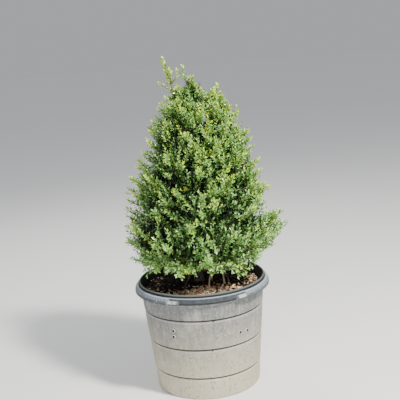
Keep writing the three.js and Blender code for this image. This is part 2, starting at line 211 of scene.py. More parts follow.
# %% [markdown]
# Meshes from numbers
#
# Every piece ends as a plain mesh whose object sits at the origin. Round forms are grids of rings, so one
# function joins any closed or open grid of points into faces.


# %% Mesh helpers
def mesh_object(name, points, faces=(), edges=(), smooth=True):
    """An object at the origin from points in metres."""
    mesh = bpy.data.meshes.new(name)
    mesh.from_pydata([tuple(point) for point in points], edges, faces)
    mesh.validate()
    mesh.polygons.foreach_set("use_smooth", [smooth] * len(mesh.polygons))
    return new_object(name, mesh)


def ring_faces(rings, sides, first=0):
    """Quads between rings of points that run anticlockwise, each ring after the one below it."""
    faces = []
    for ring in range(rings - 1):
        for side in range(sides):
            a = first + ring * sides + side
            b = first + ring * sides + (side + 1) % sides
            faces.append((a, b, b + sides, a + sides))
    return faces


def ring_cap(first, sides):
    """One face over a ring of points, facing the side from which they run anticlockwise."""
    return tuple(range(first, first + sides))


def add_attribute(piece, label, values):
    """Values that the piece's points carry, a number or a vector each."""
    values = np.asarray(values, np.float32)
    kind, field = ("FLOAT", "value") if values.ndim == 1 else ("FLOAT_VECTOR", "vector")
    attribute = piece.data.attributes.new(label, kind, "POINT")
    attribute.data.foreach_set(field, values.ravel())


def triangles(piece):
    return sum(len(polygon.vertices) - 2 for polygon in piece.data.polygons)


def settle(piece, slot, *nodes):
    """A finished piece rides on the part's one body and stands for the nodes that are named."""
    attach(piece, "root")
    if nodes:
        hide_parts(*nodes)
    print(piece.name, triangles(piece), "triangles")


# %% [markdown]
# The pot
#
# The real pot is blow-moulded: four tiers that step in going down, a thick rolled band under the rim, a
# groove and a thin lip. A turned outline gives all of that. Where the band widens into a long grip lug
# on each side, the ring's points are pushed out by an eased step, which a plain lathe can't do. The lugs
# sit four degrees round from the middle, as on the real pot, and each starts with a short low tab.

# %% Outline of the pot
POT_HEIGHT = 460
POLE_RADIUS = 0.5
UNDERSIDE = 3
FOOT_RADIUS = 217
FOOT_ROUND = 7
MOUTH_RADIUS = 257
POT_WALL = 6
RING_HEIGHTS = (96, 222, 348)
RING_STEP = 3.5
RING_DROP = 8
RING_RISE = 3
TIER_STEPS = 9
TOP_TIER_STEPS = 5
BAND_BOTTOM = 419
BAND_TOP = 447
BAND_RADIUS = 269
LIP_RADIUS = 262
LIP_WALL = 5
LUG_STAND = 12
LUG_BEVEL_FROM = 0.55
LUG_BEVEL_DEPTH = 0.85
LUG_TURN = 4
LUG_START = 34
LUG_END = 150
LUG_EDGE = 0.7
LUG_FADE = 6
TAB_START = 25.5
TAB_SHARE = 0.62
TAB_STAND = 0.8
RIPPLE = 0.7
RIPPLE_TURNS = 3
RIPPLE_HEIGHT = 120
WALL_FROM = 200
POT_SIDES = 288


def wall_line(height):
    return FOOT_RADIUS + (MOUTH_RADIUS - FOOT_RADIUS) * height / BAND_BOTTOM


def arc(centre, radius, start, end, steps):
    """Points on an arc in the outline's plane, with angles in degrees."""
    turns = [math.radians(start + (end - start) * step / steps) for step in range(steps + 1)]
    return [(centre[0] + radius * math.cos(a), centre[1] + radius * math.sin(a)) for a in turns]


def ring_profile(height):
    """The step under one tier: the wall comes in, turns up behind the tier's edge, and rolls out."""
    wall = wall_line(height)
    inset = wall - RING_STEP
    return [
        (inset - 0.3, height - RING_DROP), (inset - 0.6, height - 4.2), (inset - 1.6, height - 2.4),
        (inset - 1.8, height - 1), (inset + 0.8, height - 0.8), (wall - 0.8, height - 0.4),
        (wall - 0.1, height + 0.8), (wall, height + RING_RISE),
    ]


def pot_outline():
    """Radius, height and share of the band (None off it) of each ring, from the underside round."""
    outline = [
        (POLE_RADIUS, UNDERSIDE), (150, UNDERSIDE), (FOOT_RADIUS - 24, UNDERSIDE), (FOOT_RADIUS - 20, 0),
    ]
    outline += arc((FOOT_RADIUS - FOOT_ROUND, FOOT_ROUND), FOOT_ROUND, -90, 0, 5)
    below = FOOT_ROUND
    for height in RING_HEIGHTS:
        for step in range(1, TIER_STEPS):
            between = below + (height - RING_DROP - below) * step / TIER_STEPS
            outline.append((wall_line(between) - RING_STEP * 0.5 * (between - below) / height, between))
        outline += ring_profile(height)
        below = height + RING_RISE
    for step in range(1, TOP_TIER_STEPS):
        between = below + (BAND_BOTTOM - below) * step / TOP_TIER_STEPS
        outline.append((wall_line(between), between))
    outline.append((MOUTH_RADIUS - 1, BAND_BOTTOM - 1))
    band = arc((BAND_RADIUS - 3, BAND_BOTTOM + 3), 3, -100, -5, 5)
    band += [(BAND_RADIUS + 0.3, BAND_BOTTOM + 6), (BAND_RADIUS - 0.9, BAND_BOTTOM + 7.5)]
    band += [(BAND_RADIUS - 0.6, BAND_BOTTOM + 13), (BAND_RADIUS - 0.4, BAND_BOTTOM + 19)]
    band += arc((BAND_RADIUS - 4, BAND_TOP - 4), 4, 5, 95, 7)
    outline += band
    inner = wall_line(BAND_BOTTOM) - RING_STEP - POT_WALL
    lip = [
        (LIP_RADIUS + 1.5, BAND_TOP - 1.5), (LIP_RADIUS + 0.8, BAND_TOP - 5),
        (LIP_RADIUS, BAND_TOP - 5), (LIP_RADIUS - 0.4, BAND_TOP + 3), (LIP_RADIUS - 0.4, POT_HEIGHT - 2.4),
        (LIP_RADIUS - 1.2, POT_HEIGHT - 0.6), (LIP_RADIUS - 2.6, POT_HEIGHT),
        (LIP_RADIUS - LIP_WALL, POT_HEIGHT - 0.8), (LIP_RADIUS - LIP_WALL - 0.8, POT_HEIGHT - 3),
        (inner, BAND_BOTTOM), (inner - 4, 380), (200, POT_WALL), (POLE_RADIUS, POT_WALL),
    ]
    first, last = len(outline) - len(band), len(outline)
    shares = [
        (height - BAND_BOTTOM) / (BAND_TOP - BAND_BOTTOM) if first <= k < last else None
        for k, (_, height) in enumerate(outline)
    ]
    return [(*point, share) for point, share in zip(outline, shares)] + [(*p, None) for p in lip]


def eased(value, low, high):
    share = min(1.0, max(0.0, (value - low) / (high - low)))
    return share * share * (3 - 2 * share)


def lug_share(from_front, band_share):
    """How far the band stands out at an angle from the front: its top slopes, its tab starts sooner."""
    start = LUG_START if band_share > TAB_SHARE else TAB_START
    ends = eased(from_front, start - LUG_EDGE, start + LUG_EDGE)
    ends *= 1 - eased(from_front, LUG_END, LUG_END + LUG_FADE)
    if from_front < LUG_START and band_share <= TAB_SHARE:
        return TAB_STAND * ends
    slope = min(1.0, max(0.0, (band_share - LUG_BEVEL_FROM) / (1 - LUG_BEVEL_FROM)))
    return ends * (1 - LUG_BEVEL_DEPTH * slope)


def pot_mesh():
    outline = pot_outline()
    points = []
    for radius, height, band_share in outline:
        for side in range(POT_SIDES):
            degrees = 360 * side / POT_SIDES
            from_front = abs((degrees - LUG_TURN + 180) % 360 - 180)
            angle = math.radians(degrees - 90)
            out = radius
            if band_share is not None:
                out += LUG_STAND * lug_share(from_front, band_share)
            elif radius > WALL_FROM and height < BAND_BOTTOM - 10:
                way = Vector((math.cos(angle), math.sin(angle), 0)) * RIPPLE_TURNS
                out += RIPPLE * noise.noise(way + Vector((0, 0, height / RIPPLE_HEIGHT)))
            points.append((out * math.cos(angle), out * math.sin(angle), height))
    faces = ring_faces(len(outline), POT_SIDES)
    faces.append(ring_cap(0, POT_SIDES)[::-1])
    faces.append(ring_cap((len(outline) - 1) * POT_SIDES, POT_SIDES))
    return mesh_object("nursery_pot", np.array(points) * MILLIMETRE, faces)


pot_piece = pot_mesh()
print("pot rings:", len(pot_outline()))

# %% [markdown]
# Small marks on the pot
#
# Four moulded pips show on the second tier from above, two on the left and two on the right, and two more
# are behind. Two tiny nubs hang under rings in front. Each mark is a low dome, a pip with a dimple in it,
# turned about its own axis and laid on the wall. The dimples and the whole nubs are painted dark as shade,
# and the rims of the pips are painted light as a highlight.

# %% Pips and nubs
# angle from the front and height of each, then radius and stand of each ring from the middle out
PIP_PLACES = ((-31, 302), (-31.5, 276), (34.5, 272), (43.5, 269), (148, 270), (-148, 274))
NUB_PLACES = ((8, 344), (5.6, 217.5))
PIP_OUTLINE = (
    (0.0, 0.3), (3.2, 0.4), (4.7, 1.0), (5.5, 2.4), (6.4, 2.8), (7.3, 2.0), (8.0, 0.2), (8.2, -1.0),
)
NUB_OUTLINE = ((0.0, 2.0), (1.8, 1.9), (3.0, 1.2), (3.6, 0.0), (3.7, -1.0))
PIP_SIDES = 20
DIMPLE_RADIUS = 6.2


def wall_marks(name, places, outline):
    points, faces = [], []
    for degrees, height in places:
        angle = math.radians(degrees - 90)
        out = Vector((math.cos(angle), math.sin(angle), 0))
        across = Vector((-out.y, out.x, 0))
        seat = out * wall_line(height) + Vector((0, 0, height))
        first = len(points)
        for radius, stand in reversed(outline):
            for side in range(PIP_SIDES):
                a = 2 * math.pi * side / PIP_SIDES
                flat = across * math.cos(a) + Vector((0, 0, 1)) * math.sin(a)
                points.append((seat + flat * max(radius, 0.05) + out * stand) * MILLIMETRE)
        faces += ring_faces(len(outline), PIP_SIDES, first)
        faces.append(ring_cap(first + (len(outline) - 1) * PIP_SIDES, PIP_SIDES))
    marks = mesh_object(name, points, faces)
    # The dimple share: where the marks are painted dark as shade, all over the nubs and in the middle of
    # the pips.
    depth = [eased(DIMPLE_RADIUS - ring[0], 0, 1) for ring in reversed(outline)]
    add_attribute(marks, "dimple", np.tile(np.repeat(depth, PIP_SIDES), len(places)))
    return marks


pips = wall_marks("pot_pips", PIP_PLACES, PIP_OUTLINE)
nubs = wall_marks("pot_nubs", NUB_PLACES, NUB_OUTLINE)

# %% [markdown]
# Weathered grey plastic
#
# Sun and hose water have bleached the pot. The wall is a soft mottled grey with fine upright streaks,
# faded patches, small light specks and dark pits, and it turns paler and warmer towards the foot, partly
# from dust and partly as painted light. A dark line of painted shade sits in the step of each ring and
# under the band, over an edge that is rubbed light and also painted as a highlight. The rolled band stays
# darker and bluer, with painted shade along its foot and a painted highlight along its top edge; its tabs
# are rubbed pale, and its lugs have fine ribs, with sloped tops painted lighter as lit faces. The groove
# under the lip and the inside of the pot are painted dark as shade. Each of these is one blend over the
# last, with a mask from noise, from height or from distance to the axis.

# %% Finish of the pot
plastic = Finish("weathered_pot_plastic", Specular_IOR_Level=0.3)
axes = plastic.node("ShaderNodeSeparateXYZ", {}, {"Vector": plastic.place})
east, north, height = axes.output("X"), axes.output("Y"), axes.output("Z")
radius = (east * east + north * north).math("POWER", 0.5)

streaks = plastic.noise(70, 6, (1, 1, 0.09), 0.7)
clouds = plastic.noise(9, 4, (1, 1, 0.8))
mottle = plastic.noise(42, 5, (1, 1, 0.8), 0.65)
grain = plastic.noise(330, 3)
# Paler and warmer towards the foot: partly dust, and partly painted light for the lamp's light that falls
# off lower down.
dust_and_painted_light = plastic.ease(height + clouds * 0.12, 0.47, 0.07)
wall_grey = plastic.blend(plastic.ease(streaks, 0.3, 0.72), colour(100, 103, 103), colour(142, 143, 139))
clouded = plastic.blend(plastic.ease(mottle, 0.4, 0.62) * 0.6, wall_grey, colour(104, 107, 107))
dusty_and_lightened = plastic.blend(dust_and_painted_light * 0.85, clouded, colour(197, 187, 161))
mottled = plastic.blend(plastic.ease(mottle, 0.5, 0.72) * 0.3, dusty_and_lightened, colour(140, 137, 128))

specks = plastic.ease(plastic.noise(140, 3), 0.56, 0.68)
pits = plastic.ease(plastic.noise(120, 3, (1, 1, 0.7)), 0.4, 0.3)
patches = plastic.ease(plastic.noise(17, 5, (1, 1, 0.6), 0.65), 0.52, 0.66)
faded = plastic.blend(patches * 0.18, mottled, colour(216, 216, 206))
speckled = plastic.blend(specks * 0.4, faded, colour(214, 211, 198))
pitted = plastic.blend(pits * 0.6, speckled, colour(82, 82, 80))


def above(low, high):
    """From 0 at one height to 1 at the other, in millimetres."""
    return plastic.ease(height, low * MILLIMETRE, high * MILLIMETRE)


def beyond(near, far):
    """From 0 at one distance to the axis to 1 at the other, in millimetres."""
    return plastic.ease(radius, near * MILLIMETRE, far * MILLIMETRE)


def level_band(low, full, end, off):
    """1 between two heights, in millimetres, with eased edges."""
    return above(low, full) * above(off, end)


# Painted shade: a dark line just under the band and in the step under each ring, where the edge above
# shades the wall.
painted_shade_lines = level_band(BAND_BOTTOM - 6.5, BAND_BOTTOM - 2.5, BAND_BOTTOM - 0.5, BAND_BOTTOM) * 0.6
rubbed_and_highlit_edges = 0
for ring in RING_HEIGHTS:
    painted_shade_lines = level_band(ring - 8.2, ring - 4.6, ring + 0.6, ring + 2.0) + painted_shade_lines
    rubbed_and_highlit_edges = level_band(ring - 17, ring - 11, ring - 9, ring - 7) + rubbed_and_highlit_edges
# Edges below the ring steps are rubbed light and also painted as a highlight on each lower tier's shoulder.
worn_and_highlit = plastic.blend(rubbed_and_highlit_edges * 0.3, pitted, colour(212, 208, 198))
shade_lined = plastic.blend(painted_shade_lines * 0.9, worn_and_highlit, colour(38, 37, 35))

# turn of the ribs' wave for each radian round and each metre up, and a tab's rubbed face in radians
RIBS_ROUND, RIBS_UP = 115, 240
TAB_RUBBED_FROM, TAB_RUBBED_TO = (0.462, 0.480), (0.610, 0.580)
on_band = above(BAND_BOTTOM - 2.5, BAND_BOTTOM - 0.5)
band_noise = plastic.noise(64, 5, (1, 1, 1.6), 0.65)
band_grey = plastic.blend(plastic.ease(band_noise, 0.3, 0.7), colour(48, 54, 60), colour(76, 82, 87))
under_band = above(BAND_BOTTOM + 11, BAND_BOTTOM + 5)
shadowed = plastic.blend(under_band * 0.85, band_grey, colour(28, 32, 36))

on_lug = beyond(BAND_RADIUS + 0.7, BAND_RADIUS + 2.2)
slope = on_lug * above(BAND_BOTTOM + 13.5, BAND_BOTTOM + 16)
ahead, aside = math.cos(math.radians(LUG_TURN)), math.sin(math.radians(LUG_TURN))
off_axis, behind_axis = east * ahead + north * aside, north * ahead - east * aside
from_front = off_axis.math("ABSOLUTE").math("ARCTAN2", behind_axis * -1)
ribs = (from_front * RIBS_ROUND + height * RIBS_UP).math("SINE")
# Painted light: the lugs' faces and sloped tops are lighter than the band, as lit faces, with light and
# dark stripes along the real ribs.
lit_ribbed_slope = plastic.blend(ribs * 0.3 + 0.5, colour(86, 95, 106), colour(134, 143, 155))
lit_gripped = plastic.blend(slope, plastic.blend(on_lug * 0.4, shadowed, colour(112, 119, 122)), lit_ribbed_slope)
tab = plastic.ease(from_front, *TAB_RUBBED_FROM) * plastic.ease(from_front, *TAB_RUBBED_TO)
tab = tab * level_band(BAND_BOTTOM + 5.5, BAND_BOTTOM + 8, BAND_BOTTOM + 15.5, BAND_BOTTOM + 18) * on_lug
tabbed = plastic.blend(tab * (plastic.ease(mottle, 0.3, 0.6) * 0.4 + 0.2), lit_gripped, colour(206, 210, 212))
# Painted highlight along the top edge of the band.
top_highlight = level_band(BAND_TOP - 4.5, BAND_TOP - 2, BAND_TOP + 0.5, BAND_TOP + 2)
top_highlit = plastic.blend(top_highlight * 0.6, tabbed, colour(172, 179, 184))
scuffs = on_lug * plastic.ease(plastic.noise(85, 4, (1, 1, 1.6), 0.7), 0.56, 0.66)
scuffed = plastic.blend(scuffs * 0.5, top_highlit, colour(204, 207, 208))
banded = plastic.blend(on_band, shade_lined, scuffed)

on_lip = above(POT_HEIGHT - 7.5, POT_HEIGHT - 5.5) * beyond(LIP_RADIUS + 2, LIP_RADIUS + 0.8)
lipped = plastic.blend(on_lip, banded, colour(87, 92, 88))
# Painted shade in the groove at the foot of the lip.
groove_shade = level_band(BAND_TOP - 7, BAND_TOP - 5.5, POT_HEIGHT - 7.5, POT_HEIGHT - 5.5)
groove_shade = groove_shade * beyond(LIP_RADIUS + 3.5, LIP_RADIUS + 2)
groove_shaded = plastic.blend(groove_shade * 0.95, lipped, colour(22, 27, 34))
# Painted shade: the inside of the pot above the band's foot is dark.
inside = beyond(LIP_RADIUS - 5.8, LIP_RADIUS - 7) * on_band
pot_colour = plastic.blend(inside, groove_shaded, colour(44, 46, 44))

relief = grain * 0.5 + streaks * 0.3 + mottle * 0.3 + pits * -0.6 + slope * ribs * 0.5
plastic.bump(relief, 0.28, 0.0012)
pot_finish = plastic.shade(Base_Color=pot_colour, Roughness=clouds * 0.25 + 0.5 + dust_and_painted_light * 0.12)

pip_plastic = Finish("pip_plastic", Specular_IOR_Level=0.3, Roughness=0.6)
dimple = pip_plastic.node("ShaderNodeAttribute", {"attribute_name": "dimple"}, {}, "Fac")
# Painted shade in the dimples and on the nubs, and a painted highlight on the pips' rims.
pip_shade_and_highlight = pip_plastic.blend(dimple, colour(186, 186, 182), colour(34, 35, 36))
pip_finish = pip_plastic.shade(Base_Color=pip_shade_and_highlight)
pot_piece.data.materials.append(pot_finish)
for piece in (pips, nubs):
    piece.data.materials.append(pip_finish)
settle(pot_piece, "pot_plastic", "pot")
settle(pips, "pot_plastic")
settle(nubs, "pot_plastic")

# %% [markdown]
# Geometry Nodes for what repeats
#
# Chips, twigs and leaves are counted in thousands. Two trees make them all. One puts copies of a small
# mesh on points that carry their own turn and size; the other turns a line drawing of twigs into thin
# tapering tubes. Both end in real mesh with a material, and `made_real` then bakes the modifier away.


# %% Trees for copies and tubes
def geometry_tree(name, inputs):
    """A geometry tree with named inputs; gives its graph, its inputs by name and their identifiers."""
    tree = bpy.data.node_groups.new(name, "GeometryNodeTree")
    tree.interface.new_socket(name="Geometry", in_out="INPUT", socket_type="NodeSocketGeometry")
    tree.interface.new_socket(name="Geometry", in_out="OUTPUT", socket_type="NodeSocketGeometry")
    identifiers = {}
    for label, kind in inputs.items():
        made = tree.interface.new_socket(name=label, in_out="INPUT", socket_type=kind)
        identifiers[label] = made.identifier
    graph = Graph(tree)
    group = graph.node("NodeGroupInput")
    sockets = {label: group.output(label) for label in ("Geometry", *inputs)}
    return graph, sockets, identifiers


def finish_tree(graph, shape, material):
    real = graph.node("GeometryNodeRealizeInstances", {}, {"Geometry": shape})
    coated = graph.node("GeometryNodeSetMaterial", {}, {"Geometry": real, "Material": material})
    group_output = graph.tree.nodes.new("NodeGroupOutput")
    graph.feed(group_output.inputs[0], coated)


def named(graph, label, kind):
    return graph.node("GeometryNodeInputNamedAttribute", {"data_type": kind}, {"Name": label})


def copies_tree():
    """Copies of one object on points that carry `turn` and `size`, each a little smaller or larger."""
    graph, socket, identifiers = geometry_tree("copies_on_points", {
        "Copy": "NodeSocketObject", "Size Change": "NodeSocketFloat", "Seed": "NodeSocketInt",
        "Finish": "NodeSocketMaterial",
    })
    cloud = graph.node("GeometryNodeMeshToPoints", {}, {"Mesh": socket["Geometry"]})
    shape = graph.node("GeometryNodeObjectInfo", {}, {"Object": socket["Copy"]}, "Geometry")
    least = 1 - socket["Size Change"]
    most = 1 + socket["Size Change"]
    change = graph.node("FunctionNodeRandomValue", {"data_type": "FLOAT"}, {
        2: least, 3: most, "Seed": socket["Seed"],
    }, 1)
    scale = graph.node("ShaderNodeVectorMath", {"operation": "SCALE"}, {
        0: named(graph, "size", "FLOAT_VECTOR"), "Scale": change,
    })
    copies = graph.node("GeometryNodeInstanceOnPoints", {}, {
        "Points": cloud, "Instance": shape, "Rotation": named(graph, "turn", "FLOAT_VECTOR"),
        "Scale": scale,
    })
    finish_tree(graph, copies, socket["Finish"])
    return graph.tree, identifiers


def tubes_tree():
    """Round tubes along lines of points that carry `thickness`."""
    graph, socket, identifiers = geometry_tree("tubes_on_lines", {
        "Sides": "NodeSocketInt", "Thickness Scale": "NodeSocketFloat", "Finish": "NodeSocketMaterial",
    })
    lines = graph.node("GeometryNodeMeshToCurve", {}, {"Mesh": socket["Geometry"]})
    thickness = named(graph, "thickness", "FLOAT") * socket["Thickness Scale"]
    circle = graph.node("GeometryNodeCurvePrimitiveCircle", {"mode": "RADIUS"}, {
        "Resolution": socket["Sides"], "Radius": 1.0,
    })
    tubes = graph.node("GeometryNodeCurveToMesh", {}, {
        "Curve": lines, "Profile Curve": circle, "Scale": thickness, "Fill Caps": True,
    })
    finish_tree(graph, tubes, socket["Finish"])
    return graph.tree, identifiers


def made_real(piece, tree, identifiers, values):
    """The piece's mesh becomes what the tree makes of it."""
    modifier = piece.modifiers.new("grown", "NODES")
    modifier.node_group = tree
    for label, value in values.items():
        modifier[identifiers[label]] = value
    depsgraph = bpy.context.evaluated_depsgraph_get()
    mesh = bpy.data.meshes.new_from_object(piece.evaluated_get(depsgraph))
    piece.modifiers.clear()
    piece.data = mesh
    for attribute in [a.name for a in mesh.attributes if a.name in ("turn", "size", "thickness")]:
        mesh.attributes.remove(mesh.attributes[attribute])
    return piece


def point_cloud(name, points, turns, sizes):
    """Points in millimetres with a turn and a size each, ready for copies."""
    piece = mesh_object(name, points * MILLIMETRE)
    add_attribute(piece, "turn", turns)
    add_attribute(piece, "size", sizes)
    return piece


COPIES, COPIES_INPUTS = copies_tree()
TUBES, TUBES_INPUTS = tubes_tree()
print("trees:", COPIES.name, TUBES.name)

# %% [markdown]
# Directions and turns
#
# Whatever grows is worked out for thousands of points at once, as arrays. A copy is turned by three axes of
# its own: sideways, along and facing. Blender wants those as Euler angles, which are read off the matrix
# of the axes.


# %% Vector helpers
DICE_FACTOR = 1664525
DICE_STEP = 1013904223
DICE_RANGE = 2 ** 32


def unit(vectors):
    return vectors / np.maximum(np.linalg.norm(vectors, axis=-1, keepdims=True), 1e-9)


def distances(path):
    """How far along a path each of its points is."""
    steps = np.linalg.norm(np.diff(path, axis=0), axis=1)
    return np.concatenate([[0], np.cumsum(steps)])


def read_along(here, runs, values):
    """Rows of values, known at the distances runs, read at other distances."""
    return np.stack([np.interp(here, runs, values[:, k]) for k in range(3)], axis=-1)


def arched(start, bend, end, t):
    """Points at shares t of the arch from start to end that is drawn towards bend."""
    return (1 - t) ** 2 * start + 2 * (1 - t) * t * bend + t * t * end


def eulers(along, facing):
    """Euler angles that turn Y to each along and Z to each facing."""
    y = unit(along)
    x = unit(np.cross(y, facing))
    z = np.cross(x, y)
    turn_x = np.arctan2(y[:, 2], z[:, 2])
    turn_y = np.arcsin(np.clip(-x[:, 2], -1, 1))
    turn_z = np.arctan2(x[:, 1], x[:, 0])
    return np.stack([turn_x, turn_y, turn_z], axis=1)


def dice(seed):
    """Seeded numbers from 0 to 1, the same ones that placed the twigs of the solid masses."""
    state = seed
    while True:
        state = (state * DICE_FACTOR + DICE_STEP) % DICE_RANGE
        yield state / DICE_RANGE


# %% [markdown]
# Bark mulch
#
# The root ball ends in a layer of composted bark: dark fines with flakes of orange and tan bark on top.
# The bed is a lumpy round slab, and the flakes are four kinds of copies that lie nearly flat on it. Most
# of the light ones are gathered where the sun falls in front of the stems, and fewer lie on the left,
# under the crown: a painted pool of sunlight and painted shade.

# %% Bed of mulch
SOIL_LEVEL = 426
SOIL_EDGE = 246
SOIL_RINGS = 46
SOIL_SIDES = 120
SOIL_BOTTOM = SOIL_LEVEL - 40
MOUND_HEIGHT = 5
MOUND_RADIUS = 160
EDGE_DROP = 7
EDGE_DROP_FROM = 205
# height, width and place in the noise of large lumps, small lumps and crumbs
SOIL_WAVES = ((3.4, 38, 1.7), (2.0, 13, 5.1), (1.1, 5, 9.3))


def soil_height(x, y):
    """Height of the mulch in millimetres: a flat top with lumps, lower against the wall."""
    spread = math.hypot(x, y)
    lumps = sum(tall * noise.noise(Vector((x / wide, y / wide, turn))) for tall, wide, turn in SOIL_WAVES)
    mound = MOUND_HEIGHT * (1 - eased(spread, 0, MOUND_RADIUS))
    return SOIL_LEVEL + mound + lumps - EDGE_DROP * eased(spread, EDGE_DROP_FROM, SOIL_EDGE)


def soil_bed():
    points = [(0, 0, SOIL_BOTTOM)]
    for side in range(SOIL_SIDES):
        angle = 2 * math.pi * side / SOIL_SIDES
        points.append((SOIL_EDGE * math.cos(angle), SOIL_EDGE * math.sin(angle), SOIL_BOTTOM))
    for ring in range(SOIL_RINGS):
        spread = SOIL_EDGE * (1 - ring / SOIL_RINGS)
        for side in range(SOIL_SIDES):
            angle = 2 * math.pi * side / SOIL_SIDES
            x, y = spread * math.cos(angle), spread * math.sin(angle)
            points.append((x, y, soil_height(x, y)))
    points.append((0, 0, soil_height(0, 0)))
    faces = ring_faces(SOIL_RINGS + 1, SOIL_SIDES, 1)
    top, inner = len(points) - 1, len(points) - 1 - SOIL_SIDES
    for side in range(SOIL_SIDES):
        after = (side + 1) % SOIL_SIDES
        faces.append((inner + side, inner + after, top))
        faces.append((0, 1 + after, 1 + side))
    return mesh_object("mulch_bed", np.array(points) * MILLIMETRE, faces)


bed = soil_bed()
compost = Finish("bark_compost", Roughness=0.95, Specular_IOR_Level=0.15)
fines = compost.noise(240, 5, roughness=0.7)
lumps = compost.noise(38, 3)
dark_fines = compost.blend(compost.ease(fines, 0.35, 0.65), colour(18, 14, 11), colour(54, 42, 33))
compost_colour = compost.blend(compost.ease(lumps, 0.52, 0.7) * 0.5, dark_fines, colour(76, 60, 46))
compost.bump(fines + lumps * 0.5, 0.8, 0.003)
bed.data.materials.append(compost.shade(Base_Color=compost_colour))
settle(bed, "bark_mulch", "soil")


# %% Flakes of bark
FLAKE_OUTLINE = (
    (-0.5, -0.12), (-0.34, -0.3), (0.12, -0.36), (0.46, -0.2), (0.5, 0.1), (0.2, 0.33), (-0.3, 0.28),
)
FLAKE_TOP = 0.13
FLAKE_WARP = 0.05
FLAKE_BOTTOM = -0.05
FLAKE_TAPER = 0.86


def flake():
    """One flake of bark, a unit long: a thin split plate with ragged ends."""
    top = [(x, y, FLAKE_TOP + FLAKE_WARP * math.sin(9 * x + 4 * y)) for x, y in FLAKE_OUTLINE]
    low = [(x * FLAKE_TAPER, y * FLAKE_TAPER, FLAKE_BOTTOM) for x, y in FLAKE_OUTLINE]
    count = len(FLAKE_OUTLINE)
    faces = [(k, count + k, count + (k + 1) % count, (k + 1) % count) for k in range(count)]
    faces = [tuple(reversed(face)) for face in faces]
    faces += [ring_cap(0, count), ring_cap(count, count)[::-1]]
    return mesh_object("flake", top + low, faces, smooth=False)


# count, length, crowding (even at 0.5, more towards the wall below it), share in the painted sunny spot,
# colour and seed
FLAKE_KINDS = {
    "mulch_flakes_dark": (1800, 15, 0.5, 0.0, colour(30, 24, 19), 11),
    "mulch_flakes_brown": (900, 16, 0.36, 0.2, colour(122, 94, 70), 12),
    "mulch_flakes_orange": (860, 13, 0.2, 0.68, colour(234, 172, 120), 13),
    "mulch_flakes_tan": (1240, 13, 0.16, 0.78, colour(248, 230, 202), 14),
}
FLAKE_TILT = 0.42
FLAKE_LIFT = (-0.5, 3.0)
FLAKE_SHAPES = (0.5, 1.3)
FLAKE_SIZES = (0.55, 1.35)
FLAKE_MIDDLES_WITHIN = SOIL_EDGE - 9
FLAKE_LIMIT = SOIL_EDGE - 12
# Where the light flakes gather, as a painted pool of sunlight, and where fewer lie, as the crown's painted
# shade.
SUNNY_SPOT = (24, -130)
SUNNY_SPREAD = (66, 26)
SHADED_FROM = -90
SHADED_SHARE = 0.7


def flakes(name, count, length, crowding, sunny, seed):
    """Flakes of one kind: a share of them lies in the sunny spot and fewer on the shaded left, painting
    sunlight and shade.
    """
    rng = np.random.default_rng(seed)
    spread = FLAKE_MIDDLES_WITHIN * rng.random(count) ** crowding
    angle = 2 * math.pi * rng.random(count)
    in_sun = rng.random(count) < sunny
    x = np.where(in_sun, rng.normal(SUNNY_SPOT[0], SUNNY_SPREAD[0], count), spread * np.cos(angle))
    y = np.where(in_sun, rng.normal(SUNNY_SPOT[1], SUNNY_SPREAD[1], count), spread * np.sin(angle))
    lit = in_sun | (x > SHADED_FROM) | (rng.random(count) > (SHADED_SHARE if sunny else 0))
    x, y, count = x[lit], y[lit], lit.sum()
    inside = np.minimum(1, FLAKE_LIMIT / np.hypot(x, y))
    x, y = x * inside, y * inside
    z = np.array([soil_height(a, b) for a, b in zip(x, y)]) + rng.uniform(*FLAKE_LIFT, count)
    facing = unit(np.stack([*rng.normal(0, FLAKE_TILT, (2, count)), np.ones(count)], axis=1))
    heading = 2 * math.pi * rng.random(count)
    level = np.stack([np.cos(heading), np.sin(heading), np.zeros(count)], axis=1)
    along = unit(level - facing * np.sum(level * facing, axis=1, keepdims=True))
    shapes = rng.uniform(*FLAKE_SHAPES, (count, 3)) * (1.0, 0.8, 0.8)
    sizes = length * MILLIMETRE * rng.uniform(*FLAKE_SIZES, (count, 1)) * shapes
    return point_cloud(name, np.stack([x, y, z], axis=1), eulers(along, facing), sizes)


flake_shape = flake()
for name, (count, length, crowding, sunny, shade, seed) in FLAKE_KINDS.items():
    chip = Finish(name.replace("flakes", "bark"), Roughness=0.85, Specular_IOR_Level=0.25)
    fibre = chip.noise(420, 3, (1, 1, 2.5))
    chip.bump(fibre, 0.5, 0.001)
    chip_colour = chip.blend(chip.ease(fibre, 0.3, 0.62), darkened(shade, 0.55), shade)
    chip_finish = chip.shade(Base_Color=chip_colour)
    piece = made_real(flakes(name, count, length, crowding, sunny, seed), COPIES, COPIES_INPUTS, {
        "Copy": flake_shape, "Size Change": 0.15, "Seed": seed, "Finish": chip_finish,
    })
    settle(piece, "bark_mulch")
bpy.data.objects.remove(flake_shape)

# %% [markdown]
# The crown's plan
#
# The crown is a cone of masses in four tiers, with a top and a leader. Each mass is an egg that keeps to a
# cell of its own, bounded by planes between it and its neighbours, so no two masses grow into each other.
# These values and functions repeat the rule that shaped the solid masses.

# %% Sizes of the plant
CLEARANCE = 0.3
TRUNK_FOOT = (-10, 20)
TRUNK_TOP = (22, 0, 1128)
TRUNK_RADII = (16, 5)
ROOT_FLARE = 8
FLARE_HEIGHT = 60
STEM_RING_CENTRE = (15, 0)
STEM_RING_RADIUS = 106
STEM_RING_TURN = -23
STEM_RADIUS = 6
STEM_FLARE = 2
BOUGH_SHARE = 0.6
BOUGH_RISE = 0.9
LIMB_TIP_RADIUS = 4.2
TRUNK_STRAIGHT = 250
LIMB_STRAIGHT_SHARE = 0.35
BOUGH_DROP = 12
BOUGH_STAGGER = 22
TRUNK_TOP_CLEAR = 62

